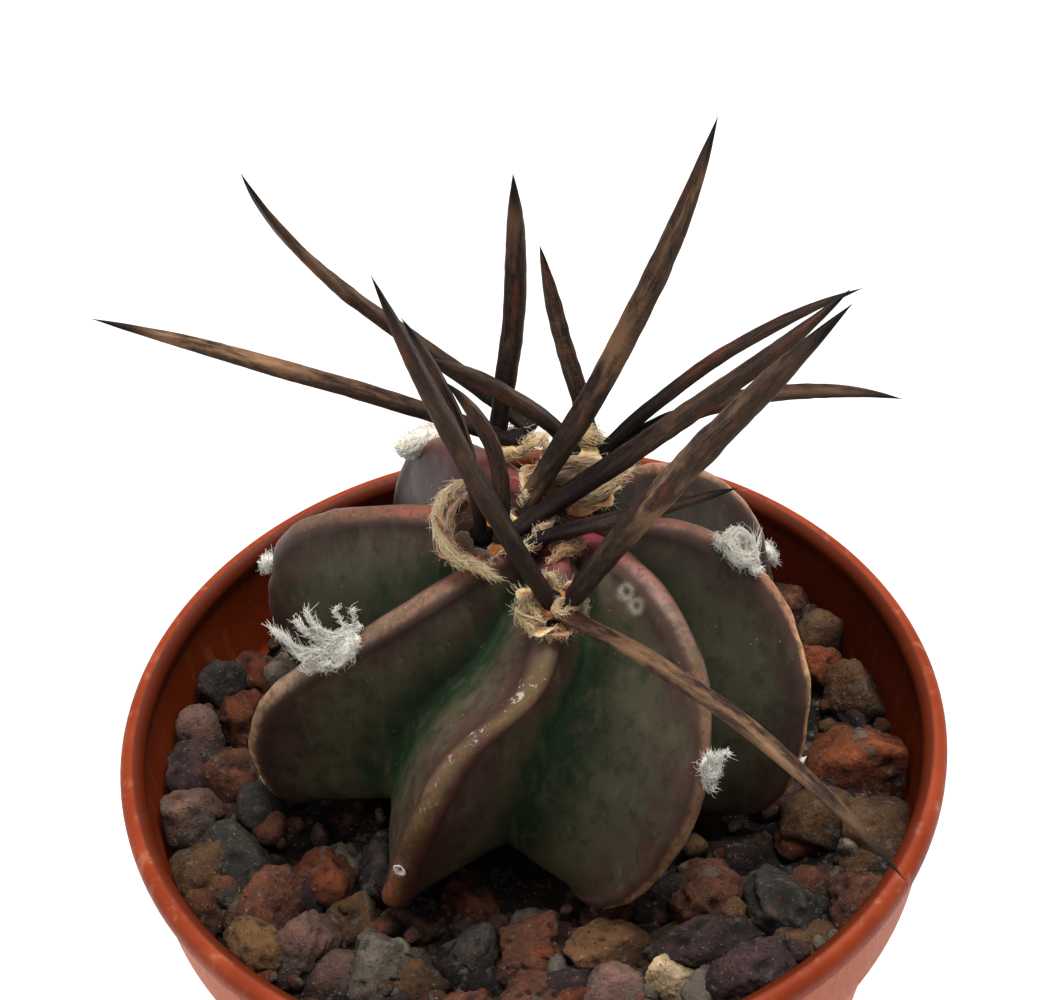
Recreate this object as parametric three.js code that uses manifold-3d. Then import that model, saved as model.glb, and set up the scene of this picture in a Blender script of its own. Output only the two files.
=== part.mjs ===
// A goats horn cactus in a small round nursery pot.
// Millimetres, +Z up. The origin is the centre of the pot's base, and -Y is the front.

import * as THREE from 'three';
import { mergeVertices } from 'three/addons/utils/BufferGeometryUtils.js';
import Module from 'manifold-3d';

const wasm = await Module();
wasm.setup();

// Sizes of the pot
const POT_HEIGHT = 56;
const RIM_RADIUS = 32.5;
const RIM_BEAD = 1.9; // width of the rolled rim
const BEAD_DEPTH = 2.4; // height of the rolled rim
const COLLAR_DEPTH = 10; // straight band under the rim
const COLLAR_DRAFT = 0.9; // how much the band narrows on its way down
const COLLAR_STEP = 1.3; // shoulder from the band to the tapered wall
const SHOULDER_DROP = 1;
const RIM_OVERHANG = 0.6; // the rolled rim stands this far out from the band
const WALL = 0.9;
const EDGE = 0.5; // bevel of the small corners
const BASE_RADIUS = 22;
const BASE_RECESS = 1.2; // the base plate stands this far above the foot ring
const FOOT_RING = 2.2; // width of the foot ring
const DRAIN_RADIUS = 1.8;
const DRAIN_CIRCLE = 13;
const DRAIN_COUNT = 6;
const DRAIN_SIDES = 10;
const DRILL_LENGTH = 6;
const ROUND_SIDES = 48;
const RIM_STEPS = 4;

// Sizes of the planting
const GRIT_LEVEL = 48; // where the tops of the loose stones lie
const MIX_LEVEL = 45.5; // top of the packed mix under the stones
const GAP = 0.3; // clearance between pieces that touch

// Sizes of the cactus
const AXIS_X = -0.9; // middle of the body at grit level
const AXIS_Y = 4.5;
const AXIS_LEAN = 0.16; // sideways shift of the middle for each millimetre of height
const CROWN_Z = POT_HEIGHT + 17.4; // middle of the crown
const CREST_START = 1.5; // how far from the middle the ribs' edges start
const CREST_HALF = 1.15; // half the thickness of a rib's edge
const CREST_SHARE = 0.72; // most of a narrow rib that its edge takes up
const CAP_SHARE = 0.4; // most of a rib's depth that the rounding of its edge takes up
const LEAST_DEPTH = 0.4;
const FLANK_CURVE = 1.35; // over 1, a rib widens slowly behind its edge and faster near the furrow
const FURROW_START = 0.9;
const FURROW_RADIUS = 13.6;
const FURROW_WIDEST = POT_HEIGHT - 3;
const FURROW_TOP = POT_HEIGHT + 15.4;
const FURROW_SQUARE = 1.7;
const FURROW_FOOT = 12.4;
const FURROW_SHALLOW = 0.08; // how much shallower, as a share, a furrow between close ribs is
const ARCH_RISE = 2.2; // the furrows end this far above the grit
const CROWN_DIP = 0.4;
const UNDERSIDE_SAG = 0.4;
const NECK_DEPTH = 1.2; // the neck of the root lies this far under the grit level
const ROOT_RADIUS = 7;
const ROOT_TAPER = 0.55;
const ROOT_DEPTH = 12;
const OUTLINE_STEPS = 80;
const BODY_ROWS = 14;
const ROOM_ROWS = 9; // the room that other pieces leave round the body is coarser
const ROOM = 0.5;
const STONE_ROOM = 0.9; // loose stones keep further off the ribs
const ROOM_LIFT = 0.62; // the share of the way down over which the room is lifted clear of the body
const CLUSTER_ROOM = 0.5;

// One side of a rib's section, from the furrow to the edge. The first are shares of the rib's depth,
// the others shares of the rounding's depth and of the edge's thickness.
const SECTION = { flank: [0.6], cap: [[1.3, 1], [0.3, 0.72]] };
const ROOM_SECTION = { flank: [0.55], cap: [[0.5, 0.95]] };

// Each rib: the heading of its edge at the crown and at the foot, in degrees from +X, any sway and kink
// on the way down, how far out it reaches and at what height, how square its outline is, how far out
// its foot stands, and the height of its edge at the crown.
const RIBS = [
  { crown: -97, foot: -118, kink: -7, reach: 20.4, widest: 57, square: 2.3, footReach: 19.2, top: 72.6 },
  { crown: -35, foot: -75, sway: -1, reach: 21.7, widest: 56.4, square: 2.25, footReach: 17.2, top: 72.6 },
  { crown: 4, foot: -28, sway: 3, reach: 22.8, widest: 54, square: 2.05, footReach: 18.8, top: 72.6 },
  { crown: 41, foot: 18, sway: 3, reach: 21.4, widest: 55.2, square: 2.15, footReach: 18.5, top: 73.4 },
  { crown: 72, foot: 68, sway: 1, reach: 21, widest: 54.5, square: 1.85, footReach: 18.5, top: 73.4 },
  { crown: 123, foot: 119, sway: 1, reach: 21.8, widest: 57.8, square: 2.35, footReach: 18.5, top: 73.4 },
  { crown: 168, foot: 152, reach: 23.5, widest: 59.6, square: 2.55, footReach: 18.5, top: 72.6 },
  { crown: 210, foot: 193, sway: 5, reach: 23, widest: 57.2, square: 2.2, footReach: 19.1, top: 72.6 },
];
const KINK_AT = 0.44;
const KINK_SPAN = 0.07;

// The spines, by the areole that they grow from
// heading and rise give the way a spine sets out, turn and lift how much they change towards its tip.
const SPINE_SIDES = 6;
const SPINE_STEPS = 7;
const SPINE_FLATNESS = 0.68;
const SPINE_TAPER = 0.6; // the share of a spine's length over which it narrows to its tip
const SPINE_POINT = 3.3; // the higher, the later it narrows
const SPINE_TIP = 0.07;
const SPINE_ROOT = 0.8; // how wide it is where it starts, against its full width
const SPINE_ROOT_LENGTH = 0.25;
const ROOM_SIDES = 4; // the room that other pieces leave round a spine is plainer
const ROOM_STEPS = 2;
const ROOM_LENGTH = 0.3; // and is only needed near its root
const KNOB_SIDES = 7;
const KNOB_ROWS = 4;
const AREOLES = {
  front: {
    at: [2.1, -3.9, 72.4],
    knob: [1.5, 1.6, 1.3],
    spines: [
      { from: [0, -0.3], heading: 184, rise: 69, length: 33, turn: 2, lift: 6, width: 2.2 },
      { from: [0.3, -0.2], heading: -19, rise: 60, length: 34, turn: 26, lift: -14, width: 2.7 },
      { from: [-0.3, -0.6], heading: -38, rise: 3, length: 33, turn: -17, lift: -21, width: 1.9 },
    ],
  },
  left: {
    at: [-2.7, 3, 73],
    knob: [1.5, 1.4, 1.3],
    spines: [
      { from: [0, 0.2], heading: 173, rise: 91, length: 21, turn: -2, lift: -26, width: 1.8 },
      { from: [1.2, -0.2], heading: -179, rise: 105, length: 16, turn: 0, lift: -51, width: 2.1 },
    ],
  },
  middle: {
    at: [0.9, 4.3, 73.4],
    knob: [1, 1.9, 1.2],
    spines: [
      { from: [-0.5, 0.8], heading: 31, rise: 46, length: 34, turn: -14, lift: 27, width: 2.1 },
      { from: [-0.3, -0.8], heading: 17, rise: 27, length: 32, turn: -42, lift: 28, width: 1.9 },
      { from: [0, -1.5], heading: -7, rise: 13, length: 16, turn: 3, lift: 4, width: 1.4 },
    ],
  },
  back_right: {
    at: [6.1, 10.3, 74],
    knob: [1.7, 1.6, 1.2],
    spines: [
      { from: [-0.8, -0.4], heading: -172, rise: 62, length: 17, turn: 4, lift: -29, width: 1.9 },
      { from: [0.3, 0], heading: 112, rise: 50, length: 16.5, turn: -7, lift: 4, width: 1.5 },
      { from: [0.2, -0.7], heading: 15, rise: 44, length: 24.5, turn: -16, lift: -24, width: 1.4 },
      { from: [0.6, -0.6], heading: 7, rise: 34, length: 24, turn: -22, lift: -42, width: 1.6 },
    ],
  },
  back_left: {
    at: [0.2, 12.2, 74.2],
    knob: [2, 1.5, 1.3],
    spines: [
      { from: [0, -0.1], heading: -176, rise: 32, length: 34, turn: 0, lift: -7, width: 1.8 },
      { from: [1.5, 1], heading: 140, rise: 23.5, length: 33.2, turn: 80, lift: 50, width: 1.7 },
      { from: [-1.4, 0.4], heading: 56, rise: 63, length: 22.5, turn: 1, lift: 29, width: 1.8 },
    ],
  },
};

// The wool: at which point, or at which rib and how far down its edge, how large its pad is and how far
// it is stretched along the rib, and how many locks stand out of it and how long they are
const WOOL = {
  front: { at: [2.1, -4.1, 72.6], radius: 2.3, height: 1.5, locks: 7, lock: 1.9, seed: 11 },
  left: { at: [-2.4, 2.9, 73.4], radius: 2.5, height: 2.1, locks: 8, lock: 2.2, seed: 12 },
  crown: { at: [4.2, 7.6, 74.2], radius: 4, height: 1.9, locks: 10, lock: 2.2, seed: 13 },
  old_left: { rib: 7, down: 0.44, radius: 2.5, stretch: 1.25, height: 1.2, locks: 10, lock: 2.6, seed: 21 },
  old_left_back: { rib: 6, down: 0.63, radius: 1.2, height: 0.9, locks: 5, lock: 1.2, seed: 22 },
  old_back: { rib: 5, down: 0.46, radius: 2.5, stretch: 0.9, height: 1.2, locks: 7, lock: 1.6, seed: 23 },
  old_back_right: { rib: 4, down: 0.28, radius: 1.9, height: 1, locks: 6, lock: 1.6, seed: 24 },
  old_right_back: { rib: 3, down: 0.66, radius: 1.5, height: 0.9, locks: 5, lock: 1.4, seed: 25 },
  old_right: { rib: 2, down: 0.335, radius: 2.05, height: 1, locks: 7, lock: 1.5, seed: 26 },
  old_front: { rib: 1, down: 0.565, radius: 1.3, stretch: 1.2, height: 0.9, locks: 6, lock: 1.7, seed: 27 },
};
const CREST_STEP = 0.04; // how far up and down the edge its direction is taken from
const PAD_SPREAD = 0.28;
const LARGE_PAD = 2; // a pad with a larger radius has a finer mesh
const LOCK_START = 0.62; // how far out in its pad a lock starts, and how high
const LOCK_START_HIGH = 0.3;
const LOCK_RISE = 0.25; // the least that a lock rises, in radians
const LOCK_DROOP = 0.5;
const LOCK_CURL = 2.4;
const LOCK_SPREAD = 0.6;
const LOCK_ROOT = 0.55; // radius of a lock at its root and at its tip
const LOCK_TIP = 0.16;
const LOCK_STEPS = 2;
const LOCK_SIDES = 3;

// The stones that stand out on top: where, how long, how wide and how high, and which way they lie
const STONES = [
  [-12.3, -16.5, 7.2, 6.4, 5, 20],
  [-18.6, -15.3, 7, 4.4, 4.6, 70],
  [-21.4, -10.6, 7, 5.2, 5, 60],
  [-24.2, -6, 6.4, 5, 4.8, 85],
  [-28, -1.5, 6, 4.2, 4.8, 5],
  [-27.4, -7.4, 4.6, 4, 4.6, 40],
  [-17, -7.5, 5.4, 4.4, 4.2, 0],
  [-13, -7.2, 4.4, 4, 4.6, 80],
  [-5.7, -15.4, 6.4, 3.2, 4.4, 82],
  [-1.2, -15.4, 6, 5.4, 4.4, 30],
  [-1.3, -20.6, 5, 4.4, 4, 10],
  [4.4, -16.4, 6, 4.4, 4, 0],
  [9.3, -20.2, 3.6, 3.6, 3.6, 60],
  [4.6, -21.4, 5.4, 4.8, 4, 120],
  [15.4, -20.7, 6, 5.2, 4.6, 50],
  [12.2, -11.6, 6, 5.2, 4.8, 20],
  [12.2, -17, 8, 4, 4, 15],
  [19.2, -14, 7.4, 5.6, 5, 110],
  [23.8, -15, 5.4, 4.6, 4.4, 45],
  [22.7, -5.9, 6.6, 5.4, 5, 140],
  [26.4, -8.2, 6.4, 4.8, 4.8, 60],
  [27.2, 0.2, 8.4, 6.6, 6, 160],
  [27, 7, 5.6, 4, 4.8, 150],
  [24.2, 10.4, 4.2, 3.6, 4.4, 90],
  [25.2, 13.4, 4.4, 3.8, 4.6, 20],
  [-25, 2.2, 4.6, 4.4, 4.4, 30],
  [-24.2, 8.6, 4.2, 5.4, 4.4, 10],
  [-20.6, 5.6, 6, 4.4, 4.6, 60],
  [-19.6, 13.6, 5, 4.4, 4, 10],
  [-6.4, -22.4, 5.4, 4.6, 4, 80],
  [-22, -15.2, 4.6, 3.6, 3.8, 120],
  [-28.4, 3.4, 4.6, 4.4, 4.8, 80],
  [-27.8, 7, 4.6, 3.8, 4.8, 100],
  [-26.2, 12.2, 5, 4.6, 4.8, 70],
  [-22.2, -1, 3.6, 4.8, 4.6, 0],
  [23.4, 17.2, 3.6, 5, 4.8, 40],
];
const STONE_STANDS = 0.6; // these stand this far above the grit level
const BANK = 2; // all stones lie this much higher at the wall than round the body
const BANK_FROM = 18; // distance from the pot's middle where that rise begins
const BANK_TO = 28; // and where it ends
const STONE_SPREAD = 0.3;
const STONE_TILT = 0.5;
const FILL_COUNT = 84;
const FILL_TURN = 137.508; // degrees from one filling stone to the next
const FILL_FIRST = 8; // distance of the innermost from the middle
const FILL_CLEAR = 11.5; // none lies nearer than this to the middle of the body
const FILL_LAST = 28.2;
const FILL_SIZE = 5.7;
const FILL_SHAPE = [1.15, 0.9, 0.75]; // length, width and height, against its size
const FILL_LOW = 0.4; // the highest of them lies this far under the grit level
const FILL_SPREAD = 0.9;

const rad = THREE.MathUtils.degToRad;
const mix = THREE.MathUtils.lerp;

// A seeded draw between 0 and 1.
function drawer(seed) {
  const range = 2 ** 31;
  let state = seed * 7919 + 17;
  return () => {
    state = (state * 1103515245 + 12345) % range;
    return state / range;
  };
}

// A draw about a middle value.
const around = (middle, spread, draw) => middle + spread * (draw() - 0.5);

// From three.js geometry to a solid and back
function solid(geometry) {
  const bare = geometry.clone();
  bare.deleteAttribute('normal');
  bare.deleteAttribute('uv');
  const merged = mergeVertices(bare, 1e-4);
  const mesh = new wasm.Mesh({
    numProp: 3,
    vertProperties: new Float32Array(merged.attributes.position.array),
    triVerts: new Uint32Array(merged.index.array),
  });
  return new wasm.Manifold(mesh);
}

// The largest shell of a solid: what a cut leaves loose is dropped, and what joining seals in is filled.
function geometryOf(body) {
  const mesh = body.getMesh();
  const spots = mesh.vertProperties;
  const index = mesh.triVerts;
  const shell = Array.from({ length: spots.length / 3 }, (_, i) => i);
  const root = (i) => {
    while (shell[i] !== i) i = shell[i] = shell[shell[i]];
    return i;
  };
  for (let i = 0; i < index.length; i += 3) {
    shell[root(index[i])] = root(index[i + 1]);
    shell[root(index[i + 1])] = root(index[i + 2]);
  }
  const corner = (i) => new THREE.Vector3(spots[3 * i], spots[3 * i + 1], spots[3 * i + 2]);
  const volume = new Map();
  for (let i = 0; i < index.length; i += 3) {
    const key = root(index[i]);
    const part = corner(index[i]).dot(corner(index[i + 1]).cross(corner(index[i + 2]))) / 6;
    volume.set(key, (volume.get(key) ?? 0) + part);
  }
  const keep = [...volume.entries()].sort((p, q) => q[1] - p[1])[0][0];
  const kept = [];
  for (let i = 0; i < index.length; i += 3) {
    if (root(index[i]) === keep) kept.push(index[i], index[i + 1], index[i + 2]);
  }
  const geometry = new THREE.BufferGeometry();
  geometry.setAttribute('position', new THREE.BufferAttribute(new Float32Array(spots), 3));
  geometry.setIndex(kept);
  const plain = geometry.toNonIndexed();
  plain.computeVertexNormals();
  return plain;
}

// A closed skin over rings of equal numbers of points, with a fan at each end.
function loft(rings) {
  const sides = rings[0].length;
  const points = rings.flat();
  const index = [];
  for (let r = 0; r + 1 < rings.length; r++) {
    for (let s = 0; s < sides; s++) {
      const p = r * sides + s;
      const q = r * sides + ((s + 1) % sides);
      index.push(p, q, q + sides, p, q + sides, p + sides);
    }
  }
  const ends = [rings[0], rings[rings.length - 1]];
  ends.forEach((ring, end) => {
    const centre = ring.reduce((sum, p) => sum.add(p), new THREE.Vector3()).divideScalar(sides);
    const middle = points.length;
    points.push(centre);
    const start = end === 0 ? 0 : (rings.length - 1) * sides;
    for (let s = 0; s < sides; s++) {
      const p = start + s;
      const q = start + ((s + 1) % sides);
      if (end === 0) index.push(middle, q, p);
      else index.push(middle, p, q);
    }
  });
  const geometry = new THREE.BufferGeometry();
  geometry.setAttribute('position', new THREE.Float32BufferAttribute(points.flatMap((p) => p.toArray()), 3));
  geometry.setIndex(index);
  return geometry;
}

function turned(points) {
  const profile = points.map(([r, z]) => new THREE.Vector2(r, z));
  return solid(new THREE.LatheGeometry(profile, ROUND_SIDES).rotateX(Math.PI / 2));
}

// The pot
const COLLAR_TOP = POT_HEIGHT - BEAD_DEPTH;
const COLLAR_FOOT = POT_HEIGHT - COLLAR_DEPTH;
const COLLAR_OUTER = RIM_RADIUS - RIM_OVERHANG;
const SHOULDER_OUTER = COLLAR_OUTER - COLLAR_DRAFT - COLLAR_STEP;

// Half a circle over the rim, from its outer to its inner side.
function rimArc() {
  const radius = RIM_BEAD / 2;
  return Array.from({ length: RIM_STEPS + 1 }, (_, i) => {
    const turn = (i / RIM_STEPS) * Math.PI;
    return [RIM_RADIUS - radius + radius * Math.cos(turn), POT_HEIGHT - radius + radius * Math.sin(turn)];
  });
}

function potSolid() {
  let pot = turned([
    [0, BASE_RECESS],
    [BASE_RADIUS - FOOT_RING, BASE_RECESS],
    [BASE_RADIUS - FOOT_RING + EDGE, 0],
    [BASE_RADIUS - EDGE, 0],
    [BASE_RADIUS, EDGE],
    [SHOULDER_OUTER, COLLAR_FOOT - SHOULDER_DROP],
    [COLLAR_OUTER - COLLAR_DRAFT, COLLAR_FOOT],
    [COLLAR_OUTER, COLLAR_TOP],
    [RIM_RADIUS, COLLAR_TOP + EDGE],
    ...rimArc(),
    [COLLAR_OUTER - WALL, COLLAR_TOP],
    [COLLAR_OUTER - COLLAR_DRAFT - WALL, COLLAR_FOOT],
    [SHOULDER_OUTER - WALL, COLLAR_FOOT - SHOULDER_DROP],
    [BASE_RADIUS - WALL, BASE_RECESS + WALL + EDGE],
    [BASE_RADIUS - WALL - EDGE, BASE_RECESS + WALL],
    [0, BASE_RECESS + WALL],
  ]);
  for (let i = 0; i < DRAIN_COUNT; i++) {
    const turn = (i * 2 * Math.PI) / DRAIN_COUNT;
    const drill = new THREE.CylinderGeometry(DRAIN_RADIUS, DRAIN_RADIUS, DRILL_LENGTH, DRAIN_SIDES);
    drill.rotateX(Math.PI / 2);
    drill.translate(DRAIN_CIRCLE * Math.cos(turn), DRAIN_CIRCLE * Math.sin(turn), BASE_RECESS);
    pot = pot.subtract(solid(drill));
  }
  return pot;
}

// The space inside the pot, held clear of its wall.
function potRoom(top, clear) {
  return turned([
    [0, BASE_RECESS + WALL + clear],
    [BASE_RADIUS - WALL - EDGE - clear, BASE_RECESS + WALL + clear],
    [BASE_RADIUS - WALL - clear, BASE_RECESS + WALL + EDGE + clear],
    [SHOULDER_OUTER - WALL - clear, COLLAR_FOOT - SHOULDER_DROP],
    [COLLAR_OUTER - COLLAR_DRAFT - WALL - clear, COLLAR_FOOT],
    [COLLAR_OUTER - COLLAR_DRAFT - WALL - clear, top],
    [0, top],
  ]);
}

// The body of the cactus
// An outline from the crown to the foot, read by how far along it a point lies.
function outline(start, top, reach, widest, square, footReach, foot) {
  const points = [];
  for (let i = 0; i <= OUTLINE_STEPS; i++) {
    const turn = (i / OUTLINE_STEPS) * Math.PI;
    if (turn <= Math.PI / 2) {
      const out = start + (reach - start) * Math.sin(turn) ** (2 / square);
      points.push([out, widest + (top - widest) * Math.max(0, Math.cos(turn)) ** (2 / square)]);
    } else {
      const under = turn - Math.PI / 2;
      const out = footReach + (reach - footReach) * Math.max(0, Math.cos(under));
      points.push([out, widest - (widest - foot) * Math.sin(under)]);
    }
  }
  const along = [0];
  for (let i = 1; i < points.length; i++) {
    const step = Math.hypot(points[i][0] - points[i - 1][0], points[i][1] - points[i - 1][1]);
    along.push(along[i - 1] + step);
  }
  const full = along[along.length - 1];
  return (s) => {
    const goal = Math.min(Math.max(s, 0), 1) * full;
    let i = 1;
    while (i < points.length - 1 && along[i] < goal) i++;
    const share = (goal - along[i - 1]) / (along[i] - along[i - 1]);
    return [mix(points[i - 1][0], points[i][0], share), mix(points[i - 1][1], points[i][1], share)];
  };
}

function place(out, heading, z) {
  const x = AXIS_X + AXIS_LEAN * (z - GRIT_LEVEL) + out * Math.cos(rad(heading));
  return new THREE.Vector3(x, AXIS_Y + out * Math.sin(rad(heading)), z);
}

function headingOf({ crown, foot, sway = 0, kink = 0 }, s) {
  const swing = sway * Math.sin(2 * Math.PI * s) + kink * Math.tanh((s - KINK_AT) / KINK_SPAN);
  return crown + (foot - crown) * s + swing;
}

const crests = RIBS.map((rib) => {
  return outline(CREST_START, rib.top, rib.reach, rib.widest, rib.square, rib.footReach, GRIT_LEVEL);
});
const furrow = outline(
  FURROW_START,
  FURROW_TOP,
  FURROW_RADIUS,
  FURROW_WIDEST,
  FURROW_SQUARE,
  FURROW_FOOT,
  GRIT_LEVEL + ARCH_RISE,
);

function crestPoint(rib, s) {
  const [out, z] = crests[rib](s);
  return place(out, headingOf(RIBS[rib], s), z);
}

// A point of the groove between a rib and the next one round.
function furrowPoint(rib, s) {
  const next = RIBS[(rib + 1) % RIBS.length];
  const here = headingOf(RIBS[rib], s);
  let there = headingOf(next, s);
  while (there < here) there += 360;
  const [out, z] = furrow(s);
  const evenGap = 360 / RIBS.length;
  const close = 1 - Math.min(1, (there - here) / evenGap);
  return place(out * (1 + FURROW_SHALLOW * close), (here + there) / 2, z);
}

// One ring round the body. Each rib runs from furrow to edge to furrow with its own thickness.
function bodyRing(s, grow) {
  const section = grow ? ROOM_SECTION : SECTION;
  const ring = [];
  RIBS.forEach((_, i) => {
    const before = (i + RIBS.length - 1) % RIBS.length;
    const left = furrowPoint(before, s);
    const right = furrowPoint(i, s);
    const edge = crestPoint(i, s);
    const inward = left.clone().add(right).multiplyScalar(0.5).sub(edge);
    const side = right.clone().sub(left).multiplyScalar(0.5);
    const half = side.length();
    side.normalize();
    const thick = Math.min(CREST_HALF, half * CREST_SHARE);
    const cap = Math.min(CAP_SHARE, thick / Math.max(inward.length(), LEAST_DEPTH));
    const points = [
      ...section.flank.map((w) => [w, thick + (half - thick) * w ** FLANK_CURVE]),
      ...section.cap.map(([w, h]) => [w * cap, h * thick]),
    ];
    const at = ([w, h]) => edge.clone().addScaledVector(inward, w).addScaledVector(side, h);
    ring.push(left, ...points.map(([w, h]) => at([w, -h])), edge, ...points.reverse().map(at));
  });
  if (!grow) return ring;
  const centre = place(0, 0, ring.reduce((sum, p) => sum + p.z, 0) / ring.length);
  return ring.map((p, i) => {
    const next = ring[(i + 1) % ring.length];
    const last = ring[(i + ring.length - 1) % ring.length];
    const along = next.clone().sub(last);
    const out = new THREE.Vector3(along.y, -along.x, 0);
    if (out.lengthSq() < 1e-6) out.copy(p).sub(centre).setZ(0);
    out.normalize();
    return p.clone().addScaledVector(out, grow);
  });
}

function bodySolid(grow) {
  const rings = [];
  const rows = grow ? ROOM_ROWS : BODY_ROWS;
  for (let r = 0; r <= rows; r++) {
    const ring = bodyRing(r / rows, grow);
    const lift = grow * Math.max(0, 1 - r / rows / ROOM_LIFT);
    rings.push(ring.map((p) => p.clone().setZ(p.z + lift)));
  }
  const last = rings[rings.length - 1];
  const middle = place(0, 0, GRIT_LEVEL);
  const rootRing = (radius, z) => last.map((p) => {
    const way = Math.atan2(p.y - middle.y, p.x - middle.x);
    return new THREE.Vector3(middle.x + radius * Math.cos(way), middle.y + radius * Math.sin(way), z);
  });
  const neck = rootRing(ROOT_RADIUS + grow, GRIT_LEVEL - NECK_DEPTH - grow);
  const under = last.map((p, i) => p.clone().lerp(neck[i], 0.5));
  rings.push(under.map((p) => p.setZ(p.z - UNDERSIDE_SAG - grow)));
  rings.push(neck);
  rings.push(rootRing(ROOT_RADIUS * ROOT_TAPER + grow, GRIT_LEVEL - ROOT_DEPTH - grow));
  const top = rings[0].map((p) => p.clone().lerp(place(0, 0, CROWN_Z + grow), 0.5));
  rings.unshift(top.map((p) => p.setZ(CROWN_Z - CROWN_DIP + grow)));
  return solid(loft(rings.reverse()));
}

// The stones and the mix
function bareIcosahedron(detail) {
  const geometry = new THREE.IcosahedronGeometry(1, detail);
  geometry.deleteAttribute('normal');
  geometry.deleteAttribute('uv');
  return mergeVertices(geometry);
}

// A ball whose corners are drawn in and out.
function lump(detail, spread, draw) {
  const geometry = bareIcosahedron(detail);
  const at = geometry.attributes.position;
  for (let i = 0; i < at.count; i++) {
    const swell = around(1, spread, draw);
    at.setXYZ(i, at.getX(i) * swell, at.getY(i) * swell, at.getZ(i) * swell);
  }
  return geometry;
}

function stone(x, y, z, long, wide, high, heading, draw) {
  const geometry = lump(0, STONE_SPREAD, draw);
  geometry.rotateX(draw() * 2 * Math.PI);
  geometry.rotateZ(draw() * 2 * Math.PI);
  geometry.scale(long / 2, wide / 2, high / 2);
  geometry.rotateY(around(0, STONE_TILT, draw));
  geometry.rotateZ(rad(heading));
  geometry.translate(x, y, z);
  return solid(geometry);
}

function mixSolid(bodyRoom) {
  let stones = null;
  const lay = (one) => {
    stones = stones ? stones.add(one) : one;
  };
  const bank = (x, y) => BANK * THREE.MathUtils.smoothstep(Math.hypot(x, y), BANK_FROM, BANK_TO);
  const draw = drawer(5);
  for (const [x, y, long, wide, high, heading] of STONES) {
    lay(stone(x, y, GRIT_LEVEL + bank(x, y) + STONE_STANDS - high / 2, long, wide, high, heading, draw));
  }
  for (let i = 0; i < FILL_COUNT; i++) {
    const share = (i + 0.5) / FILL_COUNT;
    const out = Math.sqrt(mix(FILL_FIRST ** 2, FILL_LAST ** 2, share));
    const turn = rad(i * FILL_TURN);
    const size = around(FILL_SIZE, FILL_SIZE / 2, draw);
    const deeper = FILL_SPREAD * draw();
    const x = out * Math.cos(turn);
    const y = out * Math.sin(turn);
    if (Math.hypot(x - AXIS_X, y - AXIS_Y) < FILL_CLEAR) continue;
    const [long, wide, high] = FILL_SHAPE.map((share) => share * size);
    const z = GRIT_LEVEL + bank(x, y) - FILL_LOW - high / 2 - deeper;
    lay(stone(x, y, z, long, wide, high, draw() * 360, draw));
  }
  const kept = stones.intersect(potRoom(POT_HEIGHT, 2 * GAP)).subtract(bodySolid(STONE_ROOM));
  return potRoom(MIX_LEVEL, GAP).add(kept).subtract(bodyRoom);
}

// The spines
function spineSolid(base, spine, grow) {
  const rings = [];
  const centre = new THREE.Vector3(base[0] + spine.from[0], base[1] + spine.from[1], base[2]);
  const tilt = (s) => rad(spine.rise + spine.lift * s);
  const course = (s) => rad(spine.heading + spine.turn * s);
  const way = (s) => new THREE.Vector3(
    Math.cos(tilt(s)) * Math.cos(course(s)),
    Math.cos(tilt(s)) * Math.sin(course(s)),
    Math.sin(tilt(s)),
  );
  const steps = grow ? ROOM_STEPS : SPINE_STEPS;
  const sides = grow ? ROOM_SIDES : SPINE_SIDES;
  const part = grow ? ROOM_LENGTH : 1;
  for (let i = 0; i <= steps; i++) {
    const s = (i / steps) * part;
    if (i > 0) centre.addScaledVector(way(((i - 0.5) / steps) * part), (spine.length * part) / steps);
    const left = Math.min((1 - s) / SPINE_TAPER, 1);
    const narrowed = Math.max(1 - (1 - left) ** SPINE_POINT, SPINE_TIP);
    const swell = narrowed * mix(SPINE_ROOT, 1, Math.min(1, s / SPINE_ROOT_LENGTH));
    const wide = (spine.width / 2) * swell + grow;
    const thick = (spine.width / 2) * SPINE_FLATNESS * swell + grow;
    const sideways = new THREE.Vector3(-Math.sin(course(s)), Math.cos(course(s)), 0);
    const upward = way(s).cross(sideways).normalize();
    const ring = [];
    for (let k = 0; k < sides; k++) {
      const turn = ((k + (grow ? 0.5 : 0)) * 2 * Math.PI) / sides;
      const point = centre.clone().addScaledVector(sideways, wide * Math.cos(turn));
      ring.push(point.addScaledVector(upward, thick * Math.sin(turn)));
    }
    rings.push(ring);
  }
  return solid(loft(rings));
}

function clusterSolid(areole, grow) {
  const [x, y, z] = areole.knob.map((size) => size + grow);
  const knob = new THREE.SphereGeometry(1, KNOB_SIDES, KNOB_ROWS).rotateX(Math.PI / 2).scale(x, y, z);
  let cluster = solid(knob.translate(...areole.at));
  for (const spine of areole.spines) cluster = cluster.add(spineSolid(areole.at, spine, grow));
  return cluster;
}

// The wool
// Where a tuft sits, and how its own X, Y and Z stand: along the rib's edge, across it and out.
function tuftStand(tuft) {
  if (tuft.at) return new THREE.Matrix4().setPosition(...tuft.at);
  const at = crestPoint(tuft.rib, tuft.down);
  const before = crestPoint(tuft.rib, tuft.down - CREST_STEP);
  const along = crestPoint(tuft.rib, tuft.down + CREST_STEP).sub(before).normalize();
  const out = at.clone().sub(place(0, 0, at.z));
  out.addScaledVector(along, -out.dot(along)).normalize();
  return new THREE.Matrix4().makeBasis(along, out.clone().cross(along), out).setPosition(at);
}

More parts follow.
